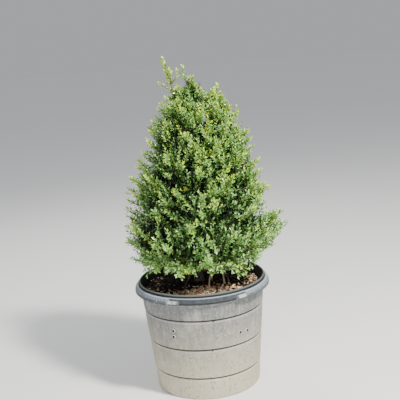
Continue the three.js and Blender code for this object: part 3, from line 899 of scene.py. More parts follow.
# height and radius of the crown, and its leaning middle line: a height, its x there and the lean
CROWN_PROFILE = np.array([
    (470, 215), (560, 262), (640, 303), (711, 305), (800, 275),
    (900, 240), (1000, 222), (1072, 198), (1160, 148), (1240, 100), (1320, 55),
], float)
CROWN_MIDDLE = (600, 8, 0.034)
CROWN_FLOOR = 472
HOLLOW_SHARE = 0.34
NECK = (-0.62, -0.55)
HEAD = (0.15, 0.6)
TWIG_ROOTS = (-0.1, 0.2, 0.8)

# tier, height, number of masses, bearing of the first, half sizes of a mass and how far it faces up
TIERS = (
    ("low", 612, 6, 0, (125, 160, 150), 0),
    ("middle", 812, 5, 198, (122, 155, 135), 0.1),
    ("upper", 982, 4, 225, (112, 145, 122), 0.2),
    ("crest", 1112, 3, 235, (84, 104, 104), 0.5),
)
# name, neck, centre, half sizes, how far it faces up, and whether it is open
SUMMIT = (
    ("top", TRUNK_TOP, (14, -4, 1215), (62, 62, 88), 3, False),
    ("leader", (-46, 4, 1182), (-66, 4, 1246), (26, 26, 74), 3, True),
)
DIRECTIONS = ("right", "back_right", "back", "back_left", "left", "front_left", "front", "front_right")
# feet of the stems that the middle masses have, and tips of the long shoots
OWN_STEMS = {"middle_right": (42, 1), "middle_front": (93, -40)}
LONG_SHOOTS = {
    "leader": ((-89, 2, 1371),),
    "top": ((-16, 0, 1335), (29, -8, 1293)),
    "crest_right": ((121, -6, 1250), (172, -20, 1160)),
    "crest_front_left": ((-108, -60, 1195),),
    "upper_front_right": ((234, -60, 1067),),
    "upper_back_right": ((199, 70, 1127),),
    "upper_front_left": ((-190, -70, 1010),),
    "upper_back_left": ((-172, 70, 1072),),
    "middle_right": ((306, -70, 831), (278, -40, 900)),
    "middle_left": ((-280, -50, 843), (-262, -40, 907)),
    "low_right": ((378, -30, 676), (364, 10, 710)),
    "low_left": ((-299, 10, 670),),
}
MAIN_TWIG_PER_SIZE = 1 / 19
MAIN_TWIG_SPREAD = 0.95
MAIN_TWIG_MARGIN = 12
MAIN_TWIG_STAND = 42
MAIN_TWIG_TURN = 0.5
OPEN_TWIGS = 4
MASS_SEED, MASS_SEED_STEP = 1000, 77


# %% Masses and their cells
def crown_radius(height):
    return np.interp(height, CROWN_PROFILE[:, 0], CROWN_PROFILE[:, 1])


def crown_middle(height):
    base, x, lean = CROWN_MIDDLE
    return np.stack([x + (height - base) * lean, 0 * height, height], axis=-1)


def off_middle(points):
    """Level distance of each point from the crown's leaning middle line."""
    middle = crown_middle(points[..., 2])
    return np.hypot(points[..., 0] - middle[..., 0], points[..., 1] - middle[..., 1])


class Mass:
    """One mass of foliage: an egg round its centre, and the stem that runs up through it."""

    def __init__(self, name, centre, outward, half, lift, neck=None, is_open=False):
        self.name = name
        self.centre = np.asarray(centre, float)
        self.outward = outward
        self.sideward = np.cross(UP, outward)
        self.facing = unit(outward + lift * UP)
        self.over = np.cross(self.facing, self.sideward)
        self.half = np.asarray(half, float)
        self.neck = self.inside(NECK) if neck is None else np.asarray(neck, float)
        self.head = self.inside(HEAD)
        self.along = unit(self.head - self.neck)
        self.open = is_open

    def inside(self, share):
        return self.centre + self.outward * share[0] * self.half[0] + UP * share[1] * self.half[2]

    def make_cell(self, others):
        """Planes towards each neighbour, nearer to the smaller one."""
        weight = np.mean(self.half) ** 2
        self.normals, self.limits = [], []
        for other in others:
            normal = other.centre - self.centre
            gap = np.linalg.norm(normal)
            normal = normal / gap
            share = (gap * gap + weight - np.mean(other.half) ** 2) / (2 * gap)
            self.normals.append(normal)
            self.limits.append(self.centre @ normal + share)
        self.normals, self.limits = np.array(self.normals), np.array(self.limits)

    def room(self, points):
        """How far inside the cell each point lies."""
        rooms = self.limits - points @ self.normals.T
        return np.minimum(rooms.min(axis=-1), points[..., 2] - CROWN_FLOOR)

    def spread(self, ahead, turn):
        """Directions at an angle from where the mass faces."""
        flat = np.sqrt(np.maximum(0, 1 - ahead * ahead))
        return (
            np.multiply.outer(ahead, self.facing)
            + np.multiply.outer(flat * np.cos(turn), self.sideward)
            + np.multiply.outer(flat * np.sin(turn), self.over)
        )

    def outermost(self, directions, margin, stand):
        """Furthest point in each direction that keeps a margin to the cell and to the crown's outside."""
        shares = np.arange(1.0, 0.1, -0.01)    # tried from the outside in
        out = np.multiply.outer(directions @ self.outward, self.outward) * self.half[0]
        side = np.multiply.outer(directions @ self.sideward, self.sideward) * self.half[1]
        rise = np.multiply.outer(directions[:, 2], UP) * self.half[2]
        reach = out + side + rise
        points = self.centre + shares[None, :, None] * reach[:, None, :]
        good = self.room(points) >= margin
        if not self.open:
            radius, crown = off_middle(points), crown_radius(points[..., 2])
            good &= (radius > HOLLOW_SHARE * crown) & (radius < crown - stand)
        first = np.where(good.any(axis=1), good.argmax(axis=1), len(shares) - 1)
        return points[np.arange(len(points)), first]


def make_masses():
    masses = []
    for tier, height, count, first, half, lift in TIERS:
        reach = crown_radius(height) - half[0]
        for k in range(count):
            degrees = (first + 360 * k / count) % 360
            outward = np.array([math.cos(math.radians(degrees)), math.sin(math.radians(degrees)), 0])
            centre = crown_middle(np.float64(height)) + outward * reach
            direction = DIRECTIONS[math.floor(degrees / 45 + 0.5) % 8]
            masses.append(Mass(f"{tier}_{direction}", centre, outward, half, lift))
    for name, neck, centre, half, lift, is_open in SUMMIT:
        away = np.array([centre[0] - TRUNK_TOP[0], centre[1] - TRUNK_TOP[1], 0.0])
        masses.append(Mass(name, centre, unit(away), half, lift, neck, is_open))
    for own in masses:
        own.make_cell([other for other in masses if other is not own])
    return masses


MASSES = make_masses()
TOP = next(own for own in MASSES if own.name == "top")
FOLIAGE_NODES = [f"foliage_{own.name}" for own in MASSES]
for own in MASSES:
    low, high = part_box(f"foliage_{own.name}")
    centre = Vector(own.centre * MILLIMETRE)
    assert all(a < c < b for a, c, b in zip(low, centre, high)), own.name
print(len(MASSES), "masses, each centred in its node's box")

# %% [markdown]
# Trunk, stems and boughs
#
# One leading trunk runs up through the crown. Thinner stems rise from the mulch round it, as on a plant
# that was cut back young, and boughs leave the trunk for the masses higher up. Each is a ring of points
# swept along a smooth curve, with upright ridges and knots pushed into its surface, so the bark has real
# relief.


# %% Curves of the limbs
LIMB_SAMPLES = 400
NODE_SLACK = 0.012


class Limb:
    """A curve that is sampled evenly, with its radius along it."""

    def __init__(self, name, knots, radii, flare=0.0):
        t = np.linspace(0, 1, LIMB_SAMPLES)[:, None]
        a, b, c, d = (np.asarray(knot, float) for knot in knots)
        fine = (1 - t) ** 3 * a + 3 * (1 - t) ** 2 * t * b + 3 * (1 - t) * t * t * c + t ** 3 * d
        self.runs = distances(fine)
        self.fine = fine
        self.length = self.runs[-1]
        self.name, self.radii, self.flare = name, radii, flare

    def points(self, shares):
        return read_along(np.asarray(shares) * self.length, self.runs, self.fine)

    def radius(self, shares):
        shares = np.asarray(shares)
        spread = np.maximum(0, 1 - shares * self.length / FLARE_HEIGHT)
        return self.radii[0] + (self.radii[1] - self.radii[0]) * shares + self.flare * spread ** 2


def make_limbs():
    end = TOP.neck - TOP.along * CLEARANCE / 2
    start = np.array([*TRUNK_FOOT, SOIL_LEVEL + CLEARANCE])
    knots = (start, start + UP * TRUNK_STRAIGHT, end - TOP.along * TRUNK_STRAIGHT, end)
    trunk = Limb("trunk", knots, TRUNK_RADII, ROOT_FLARE)
    limbs = [trunk]
    for order, own in enumerate(own for own in MASSES if own is not TOP):
        tip = own.neck - own.along * CLEARANCE / 2
        if own.name.startswith("low") or own.name in OWN_STEMS:
            angle = math.atan2(own.outward[1], own.outward[0]) + math.radians(STEM_RING_TURN)
            ring = [c + STEM_RING_RADIUS * f(angle) for c, f in zip(STEM_RING_CENTRE, (math.cos, math.sin))]
            foot = np.array([*OWN_STEMS.get(own.name, ring), SOIL_LEVEL + CLEARANCE])
            pull = LIMB_STRAIGHT_SHARE * np.linalg.norm(tip - foot)
            knots = (foot, foot + UP * pull, tip - own.along * pull, tip)
            limbs.append(Limb(f"stem_{own.name}", knots, (STEM_RADIUS, LIMB_TIP_RADIUS), STEM_FLARE))
            continue
        run = math.hypot(tip[0] - crown_middle(tip[2])[0], tip[1])
        height = min(tip[2] - run - BOUGH_DROP, end[2] - TRUNK_TOP_CLEAR) + BOUGH_STAGGER * (order % 3)
        share = np.interp(height, trunk.fine[:, 2], trunk.runs) / trunk.length
        fork = trunk.points(share)
        pull = LIMB_STRAIGHT_SHARE * np.linalg.norm(tip - fork)
        level = unit((tip - fork) * (1, 1, 0))
        rise = unit(level + UP * BOUGH_RISE)
        radius = max(LIMB_TIP_RADIUS, float(trunk.radius(share)) * BOUGH_SHARE)
        knots = (fork, fork + rise * pull, tip - own.along * pull, tip)
        limbs.append(Limb(f"bough_{own.name}", knots, (radius, LIMB_TIP_RADIUS)))
    return limbs


LIMBS = make_limbs()
for limb in LIMBS:
    low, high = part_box(limb.name)
    middle = Vector(limb.points(0.5) * MILLIMETRE)
    assert all(a - NODE_SLACK < m < b + NODE_SLACK for a, m, b in zip(low, middle, high)), limb.name
print(len(LIMBS), "limbs on the curves of their nodes")

# %% Bark with relief
BARK_SIDES = 22
BARK_STEP = 4.5
BARK_TURNS = 1.6
RIDGE_RELIEF = 0.11
RIDGE_LENGTH = 34
RIDGE_FINENESS = 2.1
KNOT_RELIEF = 0.45
KNOT_LENGTH = 60
KNOT_LEVEL = 0.28
BUTTRESSES = 5
BUTTRESS_RELIEF = 0.2
BUTTRESS_HEIGHT = 16
STEM_SLIMNESS = 0.52
# Stems painted with pale bark as lit ones; the trunk, boughs and other stems are painted dark as shade.
LIT_STEMS = ("stem_middle_front", "stem_low_front_right", "stem_middle_right")


def directions_across(path):
    """Two directions square to a path at each of its points, without twist."""
    along = unit(np.gradient(path, axis=0))
    run = path[-1] - path[0]
    across = np.array([-run[1], run[0], 0.0])
    across = unit(across) if np.linalg.norm(across) > 1e-3 else np.array([0.0, 1.0, 0.0])
    in_plane = unit(np.cross(along, across))
    return in_plane, unit(np.cross(in_plane, along))


def bark_relief(limb, angle, run, radius):
    """How far the bark stands out at an angle and a distance along a limb."""
    turn = Vector((math.cos(angle) * BARK_TURNS, math.sin(angle) * BARK_TURNS, run / RIDGE_LENGTH))
    ridges = noise.noise(turn * RIDGE_FINENESS + Vector((0, 0, limb.length)))
    knots = max(0.0, noise.noise(turn + Vector((limb.length, 0, run / KNOT_LENGTH))) - KNOT_LEVEL)
    buttress = limb.flare * BUTTRESS_RELIEF * math.exp(-run / BUTTRESS_HEIGHT)
    buttress *= math.cos(BUTTRESSES * angle + limb.length)
    return radius * (RIDGE_RELIEF * ridges + KNOT_RELIEF * knots) + buttress


def bark_mesh(limb):
    rings = max(12, int(limb.length / BARK_STEP))
    shares = np.linspace(0, 1, rings)
    path = limb.points(shares)
    in_plane, sideways = directions_across(path)
    radii = limb.radius(shares) * (STEM_SLIMNESS if limb.name.startswith("stem") else 1)
    points = []
    for ring in range(rings):
        for side in range(BARK_SIDES):
            angle = 2 * math.pi * side / BARK_SIDES
            out = in_plane[ring] * math.cos(angle) + sideways[ring] * math.sin(angle)
            relief = bark_relief(limb, angle, shares[ring] * limb.length, radii[ring])
            points.append(path[ring] + out * (radii[ring] + relief))
    faces = [tuple(reversed(face)) for face in ring_faces(rings, BARK_SIDES)]
    faces.append(ring_cap(0, BARK_SIDES))
    faces.append(ring_cap((rings - 1) * BARK_SIDES, BARK_SIDES)[::-1])
    return mesh_object(f"bark_{limb.name}", np.array(points) * MILLIMETRE, faces)


def bark_finish(name, low, high, lichen):
    bark = Finish(name, Specular_IOR_Level=0.2)
    fibres = bark.noise(190, 5, (1, 1, 0.16), 0.65)
    patches = bark.noise(46, 4)
    grey = bark.blend(bark.ease(fibres, 0.32, 0.66), low, high)
    spotted = bark.blend(bark.ease(patches, 0.56, 0.66) * 0.55, grey, lichen)
    bark.bump(fibres, 0.7, 0.0016)
    return bark.shade(Base_Color=spotted, Roughness=fibres * 0.2 + 0.72)


# Two copies of one bark: a dark one as painted shade for the trunk, boughs and most stems, and a pale one
# as painted light for the lit stems.
SHADED_BARK = bark_finish("holly_bark", colour(44, 37, 30), colour(98, 88, 75), colour(108, 110, 92))
LIT_STEM_BARK = bark_finish("stem_bark", colour(140, 118, 98), colour(210, 188, 162), colour(186, 182, 160))
for limb in LIMBS:
    piece = bark_mesh(limb)
    piece.data.materials.append(LIT_STEM_BARK if limb.name in LIT_STEMS else SHADED_BARK)
    settle(piece, "bark", limb.name)

# %% [markdown]
# The crown's real surface
#
# A clipped cone would be smooth. This one is not: it has dark hollows between its clumps, single sprays
# stand out past the rest, it thins out at the top, and its foot hangs at uneven heights. `dents` says how
# deep the surface lies back near a point, from soft noise and from the hollows that show in front. A
# hollow is given by how far it is to the side, its height and its radius, and sinks from the surface there.

# %% Dents, hollows and foot
DENT_DEPTH = 48
DENT_SIZE = 88
DENT_NOISE = (0.0, 0.42)
HOLLOW_DEPTH = 62
HOLLOW_EDGE = 1.35
HOLLOWS = (
    (-50, 770, 40), (-50, 880, 35), (-70, 920, 25), (-180, 810, 35), (-90, 810, 30), (60, 750, 30),
    (80, 680, 35), (160, 830, 25), (110, 720, 30), (-100, 600, 40), (0, 960, 25), (-10, 650, 25),
    (50, 810, 25),
)
HOLLOW_INSET = 6
THIN_FROM = 1192
THINNING = 0.85
FOOT_HEIGHT = 528
FOOT_WAVE = 30
FOOT_SIZE = 70


def soft_noise(points, size, turn):
    """Noise from about -0.6 to 0.6 that changes over a distance of `size` millimetres."""
    return np.array([noise.noise(Vector(point) / size + Vector((turn, 0, 0))) for point in points])


def hollow_share(points):
    """0 away from the hollows, 1 in the middle of one. They lie in the crown's front surface."""
    share = np.zeros(len(points))
    for x, height, radius in HOLLOWS:
        middle = crown_middle(np.float64(height))
        y = -math.sqrt((crown_radius(height) - HOLLOW_INSET) ** 2 - (x - middle[0]) ** 2)
        away = np.linalg.norm(points - np.array([x, y, height]), axis=1) / radius
        share = np.maximum(share, np.clip(HOLLOW_EDGE - away, 0, 1))
    return share


def dents(points):
    """How far the crown's surface lies back near each point, in millimetres."""
    low, high = DENT_NOISE
    share = np.clip((soft_noise(points, DENT_SIZE, 4.4) - low) / (high - low), 0, 1)
    depth = np.maximum(DENT_DEPTH * share * share * (3 - 2 * share), HOLLOW_DEPTH * hollow_share(points))
    return depth + THINNING * np.maximum(0, points[:, 2] - THIN_FROM)


def foot_height(points):
    return FOOT_HEIGHT + FOOT_WAVE * soft_noise(points * (1, 1, 0), FOOT_SIZE, 9.1)


trial = crown_middle(np.linspace(600, 1100, 6)) + np.array([0, -260, 0])
print("dents down the front, in mm:", dents(trial).round(0))

# %% [markdown]
# Twigs
#
# Twigs branch by one rule at three sizes. Main twigs leave the stem of their mass towards points on its
# egg, spread by the golden angle. Side twigs leave the wood further down for points nearer the outside,
# so they stand steeply, and leafy shoots leave the side twigs, turned towards the light. A twig stops
# where its cell or the crown stops, and lone shoots run out past it to where the real crown has them.

# %% Main twigs and side twigs
SIDE_TWIG_SPACING = 45
SIDE_TWIG_SPREAD = 1.5
SIDE_TWIG_MARGIN = 5
SIDE_TWIG_STAND = 30
SIDE_TWIG_LENGTH = 88
SIDE_TWIG_SLOPE = 0.62
SIDE_TWIG_TURN = 0.6
SIDE_TWIG_UNEVEN = 16
SIDE_TWIG_BELOW_FOOT = 6
LENGTH_WEIGHT = 0.5
TWIG_STEPS = 5
LAST_SHOOT = 6
# how far a twig sags and wanders, as shares of its length
TWIG_BENDS = {
    "main": (0.05, 0.03), "long": (0.06, 0.02), "side": (0.1, 0.05), "edge": (0.1, 0.03),
    "foot": (-0.2, 0.03),
}


def curved(roots, tips, kind, rng):
    """Paths that leave their roots low and turn up to their tips: one row of points each."""
    sag, wander = TWIG_BENDS[kind]
    t = np.linspace(0, 1, TWIG_STEPS + 1)[None, :, None]
    lengths = np.linalg.norm(tips - roots, axis=1)[:, None]
    middle = (roots + tips) / 2 - UP * sag * lengths + rng.normal(0, wander, roots.shape) * lengths
    roots, middle, tips = (p[:, None, :] for p in (roots, middle, tips))
    return arched(roots, middle, tips, t)


def twig_root(own, tip):
    """Where a twig towards a tip leaves the stem of its mass."""
    lowest, highest, rise = TWIG_ROOTS
    run = math.hypot(tip[0] - own.centre[0], tip[1] - own.centre[1])
    floor = own.neck[2] if own.open else own.centre[2] + lowest * own.half[2]
    height = min(max(tip[2] - rise * run, floor), own.centre[2] + highest * own.half[2])
    share = (height - own.neck[2]) / (own.head[2] - own.neck[2])
    return own.neck + (own.head - own.neck) * share


def main_twigs(own, order, rng):
    random = dice(MASS_SEED + MASS_SEED_STEP * order)
    trials = OPEN_TWIGS if own.open else math.floor(own.half[0] * MAIN_TWIG_PER_SIZE + 0.5)
    k = np.arange(trials)
    turn = k * GOLDEN_ANGLE + MAIN_TWIG_TURN * np.array([next(random) for _ in k])
    directions = own.spread(1 - MAIN_TWIG_SPREAD * (k + 0.5) / trials, turn)
    tips = own.outermost(directions, MAIN_TWIG_MARGIN, MAIN_TWIG_STAND)
    roots = np.array([twig_root(own, tip) for tip in tips])
    return curved(roots, tips, "main", rng)


def long_shoots(own, rng):
    ends = np.array(LONG_SHOOTS.get(own.name, np.zeros((0, 3))), float).reshape(-1, 3)
    roots = np.array([own.head if own.open else twig_root(own, end) for end in ends]).reshape(-1, 3)
    reach = np.maximum(1, np.linalg.norm(ends - roots, axis=1)[:, None])
    tips = roots + (ends - roots) * (1 - LAST_SHOOT / reach)
    return curved(roots, tips, "long", rng)


def side_twigs(own, wood, rng):
    """Side twigs of a dense mass: tips spread over its outside, each rooted on the wood below it."""
    girth = (own.half[0] * own.half[1] * own.half[2]) ** (1 / 3)
    count = int(2 * math.pi * SIDE_TWIG_SPREAD * (girth / SIDE_TWIG_SPACING) ** 2)
    k = np.arange(count)
    turn = k * GOLDEN_ANGLE + rng.uniform(0, SIDE_TWIG_TURN, count)
    directions = own.spread(1 - SIDE_TWIG_SPREAD * (k + 0.5) / count, turn)
    tips = own.outermost(directions, SIDE_TWIG_MARGIN, SIDE_TWIG_STAND)
    sunk = dents(tips) + rng.uniform(0, SIDE_TWIG_UNEVEN, count)
    tips = tips + unit(own.centre - tips) * sunk[:, None]
    tips = tips[tips[:, 2] > foot_height(tips) - SIDE_TWIG_BELOW_FOOT]
    samples = wood.reshape(-1, 3)
    gaps = np.linalg.norm(tips[:, None, :] - samples[None, :, :], axis=2)
    too_low = np.maximum(0, samples[None, :, 2] + SIDE_TWIG_SLOPE * gaps - tips[:, None, 2])
    fault = LENGTH_WEIGHT * np.abs(gaps - SIDE_TWIG_LENGTH) + too_low
    return curved(samples[fault.argmin(axis=1)], tips, "side", rng)


def stem_path(own):
    return own.neck + (own.head - own.neck) * np.linspace(0, 1, TWIG_STEPS + 1)[:, None]


rng = np.random.default_rng(31)
wood = {}
for order, own in enumerate(MASSES):
    mains = main_twigs(own, order, rng)
    longs = long_shoots(own, rng)
    stem = stem_path(own)[None]
    inner = np.concatenate([mains[:, 1:-1].reshape(-1, 3), stem[0, 2:]])
    sides = side_twigs(own, inner, rng) if not own.open else np.zeros((0, TWIG_STEPS + 1, 3))
    wood[own.name] = {"stem": stem, "main": mains, "long": longs, "side": sides}
print({kind: sum(len(w[kind]) for w in wood.values()) for kind in ("main", "long", "side")}, "twigs")
spans = np.concatenate([w["side"][:, -1] - w["side"][:, 0] for w in wood.values()])
print("side twigs are", np.linalg.norm(spans, axis=1).mean().round(0), "mm long on average")

# %% [markdown]
# Sprays past the edge
#
# Single sprays stand out past the crown's edge. Those at its left and right edge are where the picture
# has them, most of all a leafy lobe low on the right. Others close gaps that show the sky: below the
# leader, in the heart of the crown and high in front. The rest of the crown gets a few of its own, and
# under its foot bright sprigs hang out over the mulch: in front where the picture has them, and the same
# ones, turned half round, at the back.

# %% Sprays at the edge, sprigs at the foot
# tips of single sprays
EDGE_SPRAYS = {
    "low_right": (
        (352, 12, 706), (364, -14, 654), (334, -24, 620), (302, -30, 582), (322, -6, 700), (344, 16, 664),
        (328, -52, 652), (290, -52, 606), (306, 34, 640), (338, -40, 684), (318, 30, 672),
    ),
    "middle_right": ((285, -10, 836), (274, -6, 782), (290, 4, 812), (268, 22, 872)),
    "upper_front_right": ((250, -24, 997), (256, -10, 931), (238, -40, 1027)),
    "crest_right": (
        (192, -10, 1122), (150, -16, 1150), (86, -24, 1196), (108, -18, 1222), (134, -22, 1206),
    ),
    "leader": ((-38, 0, 1250), (-52, 8, 1228), (-68, -6, 1236), (-86, -4, 1212), (-62, 10, 1204)),
    "top": (
        (52, -12, 1238), (-5, -22, 1232), (-31, -14, 1246), (20, 14, 1262), (20, -16, 1278),
        (38, -16, 1252), (4, 8, 1256), (52, 12, 1212), (66, -18, 1196), (66, 12, 1166), (78, -14, 1176),
        (60, 6, 1184), (74, -86, 1124), (70, -96, 1100), (84, -70, 1152), (58, -104, 1082),
        (-22, -124, 1078),
    ),
    "crest_front_left": ((-117, -16, 1172), (-148, -22, 1118), (-84, -30, 1190)),
    "upper_front_left": ((-164, -30, 1082), (-196, -24, 998), (-225, -34, 946)),
    "middle_left": ((-256, -16, 896), (-274, -14, 808), (-266, 10, 850)),
    "low_left": ((-286, -16, 744), (-290, -4, 640), (-276, -34, 566), (-288, 18, 690)),
    "heart": ((-24, 70, 938), (-46, 84, 962), (-10, 92, 915), (-36, 60, 914), (-20, 40, 956)),
    "upper_front": (
        (26, -196, 1014), (35, -190, 992), (18, -184, 1036), (30, -200, 972), (132, -174, 926),
        (142, -160, 940), (122, -180, 906),
    ),
}
EDGE_ROOT_DEPTH = 105
EDGE_ROOT_DROP = 62
EDGE_ROOT_SHARE = 0.8
WILD_SPRAYS = 58
WILD_FROM = 600
WILD_RANGE = 560
WILD_REACH = (4, 24)


def nearest_wood(points):
    """The point of a main or side twig nearest to each point."""
    samples = np.concatenate([w[kind].reshape(-1, 3) for w in wood.values() for kind in ("main", "side")])
    return samples[np.linalg.norm(points[:, None, :] - samples[None], axis=2).argmin(axis=1)]


def edge_sprays(rng):
    """Sprays to the picture's spots, then sprays all round the crown, each rooted on a twig inside it."""
    tips = [np.array(ends, float) for ends in EDGE_SPRAYS.values()]
    k = np.arange(WILD_SPRAYS)
    heights = WILD_FROM + WILD_RANGE * (k + 0.5) / WILD_SPRAYS
    angle = k * GOLDEN_ANGLE
    reach = crown_radius(heights) + rng.uniform(*WILD_REACH, WILD_SPRAYS)
    out = np.stack([np.cos(angle), np.sin(angle), 0 * k], axis=1)
    tips = np.concatenate([*tips, crown_middle(heights) + out * reach[:, None]])
    level = (tips - crown_middle(tips[:, 2])) * (1, 1, 0)
    depth = np.minimum(EDGE_ROOT_DEPTH, EDGE_ROOT_SHARE * np.linalg.norm(level, axis=1))[:, None]
    roots = nearest_wood(tips - unit(level) * depth - UP * EDGE_ROOT_DROP)
    return curved(roots, tips, "edge", rng)


# root and tip of each sprig
LOW_SPRIGS = (
    ((-112, -160, 598), (-121, -217, 562)), ((-84, -180, 588), (-76, -228, 522)),
    ((-52, -186, 592), (-22, -222, 528)), ((34, -190, 602), (66, -212, 546)),
    ((84, -178, 590), (124, -206, 528)), ((128, -160, 582), (178, -190, 504)),
    ((112, -152, 578), (146, -196, 500)), ((-176, -84, 590), (-217, -122, 510)),
    ((-150, -124, 590), (-182, -166, 540)), ((190, -60, 616), (242, -48, 562)),
    ((196, -70, 604), (248, -56, 542)), ((176, -88, 602), (226, -76, 526)),
    ((160, -100, 598), (204, -96, 518)), ((168, -50, 610), (190, -56, 540)),
    ((186, -30, 608), (216, -34, 546)), ((150, -60, 600), (168, -76, 530)),
    ((-150, -90, 600), (-168, -100, 524)), ((-176, -40, 600), (-198, -50, 534)),
    ((-122, -110, 596), (-142, -128, 520)), ((-190, -70, 604), (-226, -84, 540)),
    ((-150, 20, 596), (-186, 8, 524)), ((-150, 60, 600), (-174, 52, 512)),
    ((-176, 40, 604), (-208, 56, 512)), ((160, 10, 604), (182, 0, 530)),
    ((168, 40, 606), (197, 52, 504)),
)


def low_sprigs(rng):
    ends = np.array(LOW_SPRIGS, float)
    behind = ends * (-1, -1, 1) + (2 * CROWN_MIDDLE[1], 0, 0)
    roots, tips = np.concatenate([ends, behind]).transpose(1, 0, 2)
    return curved(nearest_wood(roots), tips, "foot", rng)


wood["foot"] = {kind: np.zeros((0, TWIG_STEPS + 1, 3)) for kind in ("stem", "main", "side")}
spray_rng = np.random.default_rng(41)
wood["foot"]["long"] = np.concatenate([low_sprigs(spray_rng), edge_sprays(spray_rng)])
print(len(wood["foot"]["long"]), "sprigs and edge sprays")

# %% [markdown]
# Leafy shoots
#
# This year's shoots stand off the twigs every 17 millimetres, turned a golden angle each time, close to the
# twig and bent up to the light, so each twig ends in an upright spray. A shoot that would leave its mass's
# cell or the crown is shortened, and dropped if nothing is left of it. Older shoots with wider spaces fill
# the inside, along the main twigs, the trunk and the boughs, so the crown isn't hollow.

# %% Shoots
SHOOT_SPACING = 17
# how far shoots bend up, and their shortest and longest length, by tier
SHOOT_HABITS = {
    "low": (0.5, (30, 50)), "middle": (0.8, (30, 54)), "upper": (1.15, (34, 60)), "crest": (1.3, (36, 62)),
    "top": (1.4, (34, 58)),
}
SHOOT_ANGLE = math.radians(38)
TIP_SHOOT_ANGLE = 0.1
TIP_SHOOT_STRETCH = 1.2
SHOOT_TURN = 0.7
SHOOT_STRETCH = 1.12
SHOOT_SHRINK = 0.35
SHOOT_TRIALS = (1.0, 0.8, 0.62, 0.45)
SHOOT_SHORTEST = 15
SHOOT_SAG = 0.08
OUTWARD_PULL = 0.3
LIMB_CLEAR = 7
UNEVEN = (-12, 14)
CELL_OVERLAP = 9
# where shoots stand on a path, how far apart, their lengths and how far they bend up
BARE_HABIT = ((0.2, 1), SHOOT_SPACING, (20, 34), 0.5)
LONG_HABIT = ((0.25, 0.85), SHOOT_SPACING, (20, 36), 0.45)
INNER_HABIT = ((0.1, 0.8), 12, (40, 62), 0.2)
TRUNK_HABIT = ((0.32, 1), 3, (60, 105), 0.5)
BOUGH_HABIT = ((0.6, 1), 7, (40, 75), 0.5)
DENSE_SHARES = (0.3, 1)
limb_samples = np.concatenate([limb.points(np.linspace(0, 1, 30)) for limb in LIMBS])


def perpendicular(along, turn):
    """A direction square to each along, at a turn round it."""
    level = unit(np.cross(along, UP) + np.array([1e-4, 0, 0]))
    other = np.cross(level, along)
    return level * np.cos(turn)[:, None] + other * np.sin(turn)[:, None]


def shoots_on(paths, start_share, end_share, spacing, rng):
    """Places on paths, with the direction of the wood there and how far along each is."""
    places, along, share = [np.zeros((0, 3))], [np.zeros((0, 3))], [np.zeros(0)]
    for path in paths:
        runs = distances(path)
        last = end_share * runs[-1]
        here = np.arange(start_share * runs[-1], last, spacing * rng.uniform(0.85, 1.15))
        here = np.append(here, runs[-1]) if end_share == 1 else here
        places.append(read_along(here, runs, path))
        along.append(unit(read_along(here, runs, unit(np.gradient(path, axis=0)))))
        share.append(here / runs[-1])
    return np.concatenate(places), np.concatenate(along), np.concatenate(share)


def leafy_shoots(own, paths, shares, spacing, lengths, rise, rng):
    """Shoots along paths, as rows of start, bend and end. With no mass to keep to, they run free."""
    starts, along, share = shoots_on(paths, *shares, spacing, rng)
    count = len(starts)
    turn = np.arange(count) * GOLDEN_ANGLE + rng.uniform(0, SHOOT_TURN, count)
    tip = share > 0.999
    angle = np.where(tip, TIP_SHOOT_ANGLE, SHOOT_ANGLE)[:, None]
    directions = along * np.cos(angle) + perpendicular(along, turn) * np.sin(angle)
    outward = unit((starts - crown_middle(starts[:, 2])) * (1, 1, 0))
    directions = unit(directions + rise * UP + OUTWARD_PULL * outward)
    stretch = np.where(tip, TIP_SHOOT_STRETCH, SHOOT_STRETCH - SHOOT_SHRINK * share)
    lengths = rng.uniform(*lengths, count) * stretch
    uneven = rng.uniform(*UNEVEN, count)
    fits = np.zeros(count)
    for trial in SHOOT_TRIALS:
        ends = starts + directions * (lengths * trial)[:, None]
        good = np.linalg.norm(ends[:, None, :] - limb_samples[None], axis=2).min(axis=1) > LIMB_CLEAR
        if own is not None:
            good &= (own.room(ends) > -CELL_OVERLAP) & (ends[:, 2] > foot_height(ends))
            good &= off_middle(ends) < crown_radius(ends[:, 2]) + uneven - dents(ends)
        fits = np.where((fits == 0) & good, trial, fits)
    lengths = lengths * fits
    keep = lengths > SHOOT_SHORTEST
    starts, ends = starts[keep], (starts + directions * lengths[:, None])[keep]
    middles = (starts + ends) / 2 - UP * SHOOT_SAG * lengths[keep, None]
    return np.stack([starts, middles, ends], axis=1)


def outer_part(paths, share):
    """The end of each path, from a share of it on, as rows of start, bend and end."""
    def at(place):
        step = int(place * TWIG_STEPS)
        part = place * TWIG_STEPS - step
        return paths[:, step] * (1 - part) + paths[:, min(step + 1, TWIG_STEPS)] * part
    start, half, end = at(share), at((1 + share) / 2), paths[:, -1]
    return np.stack([start, 2 * half - (start + end) / 2, end], axis=1)


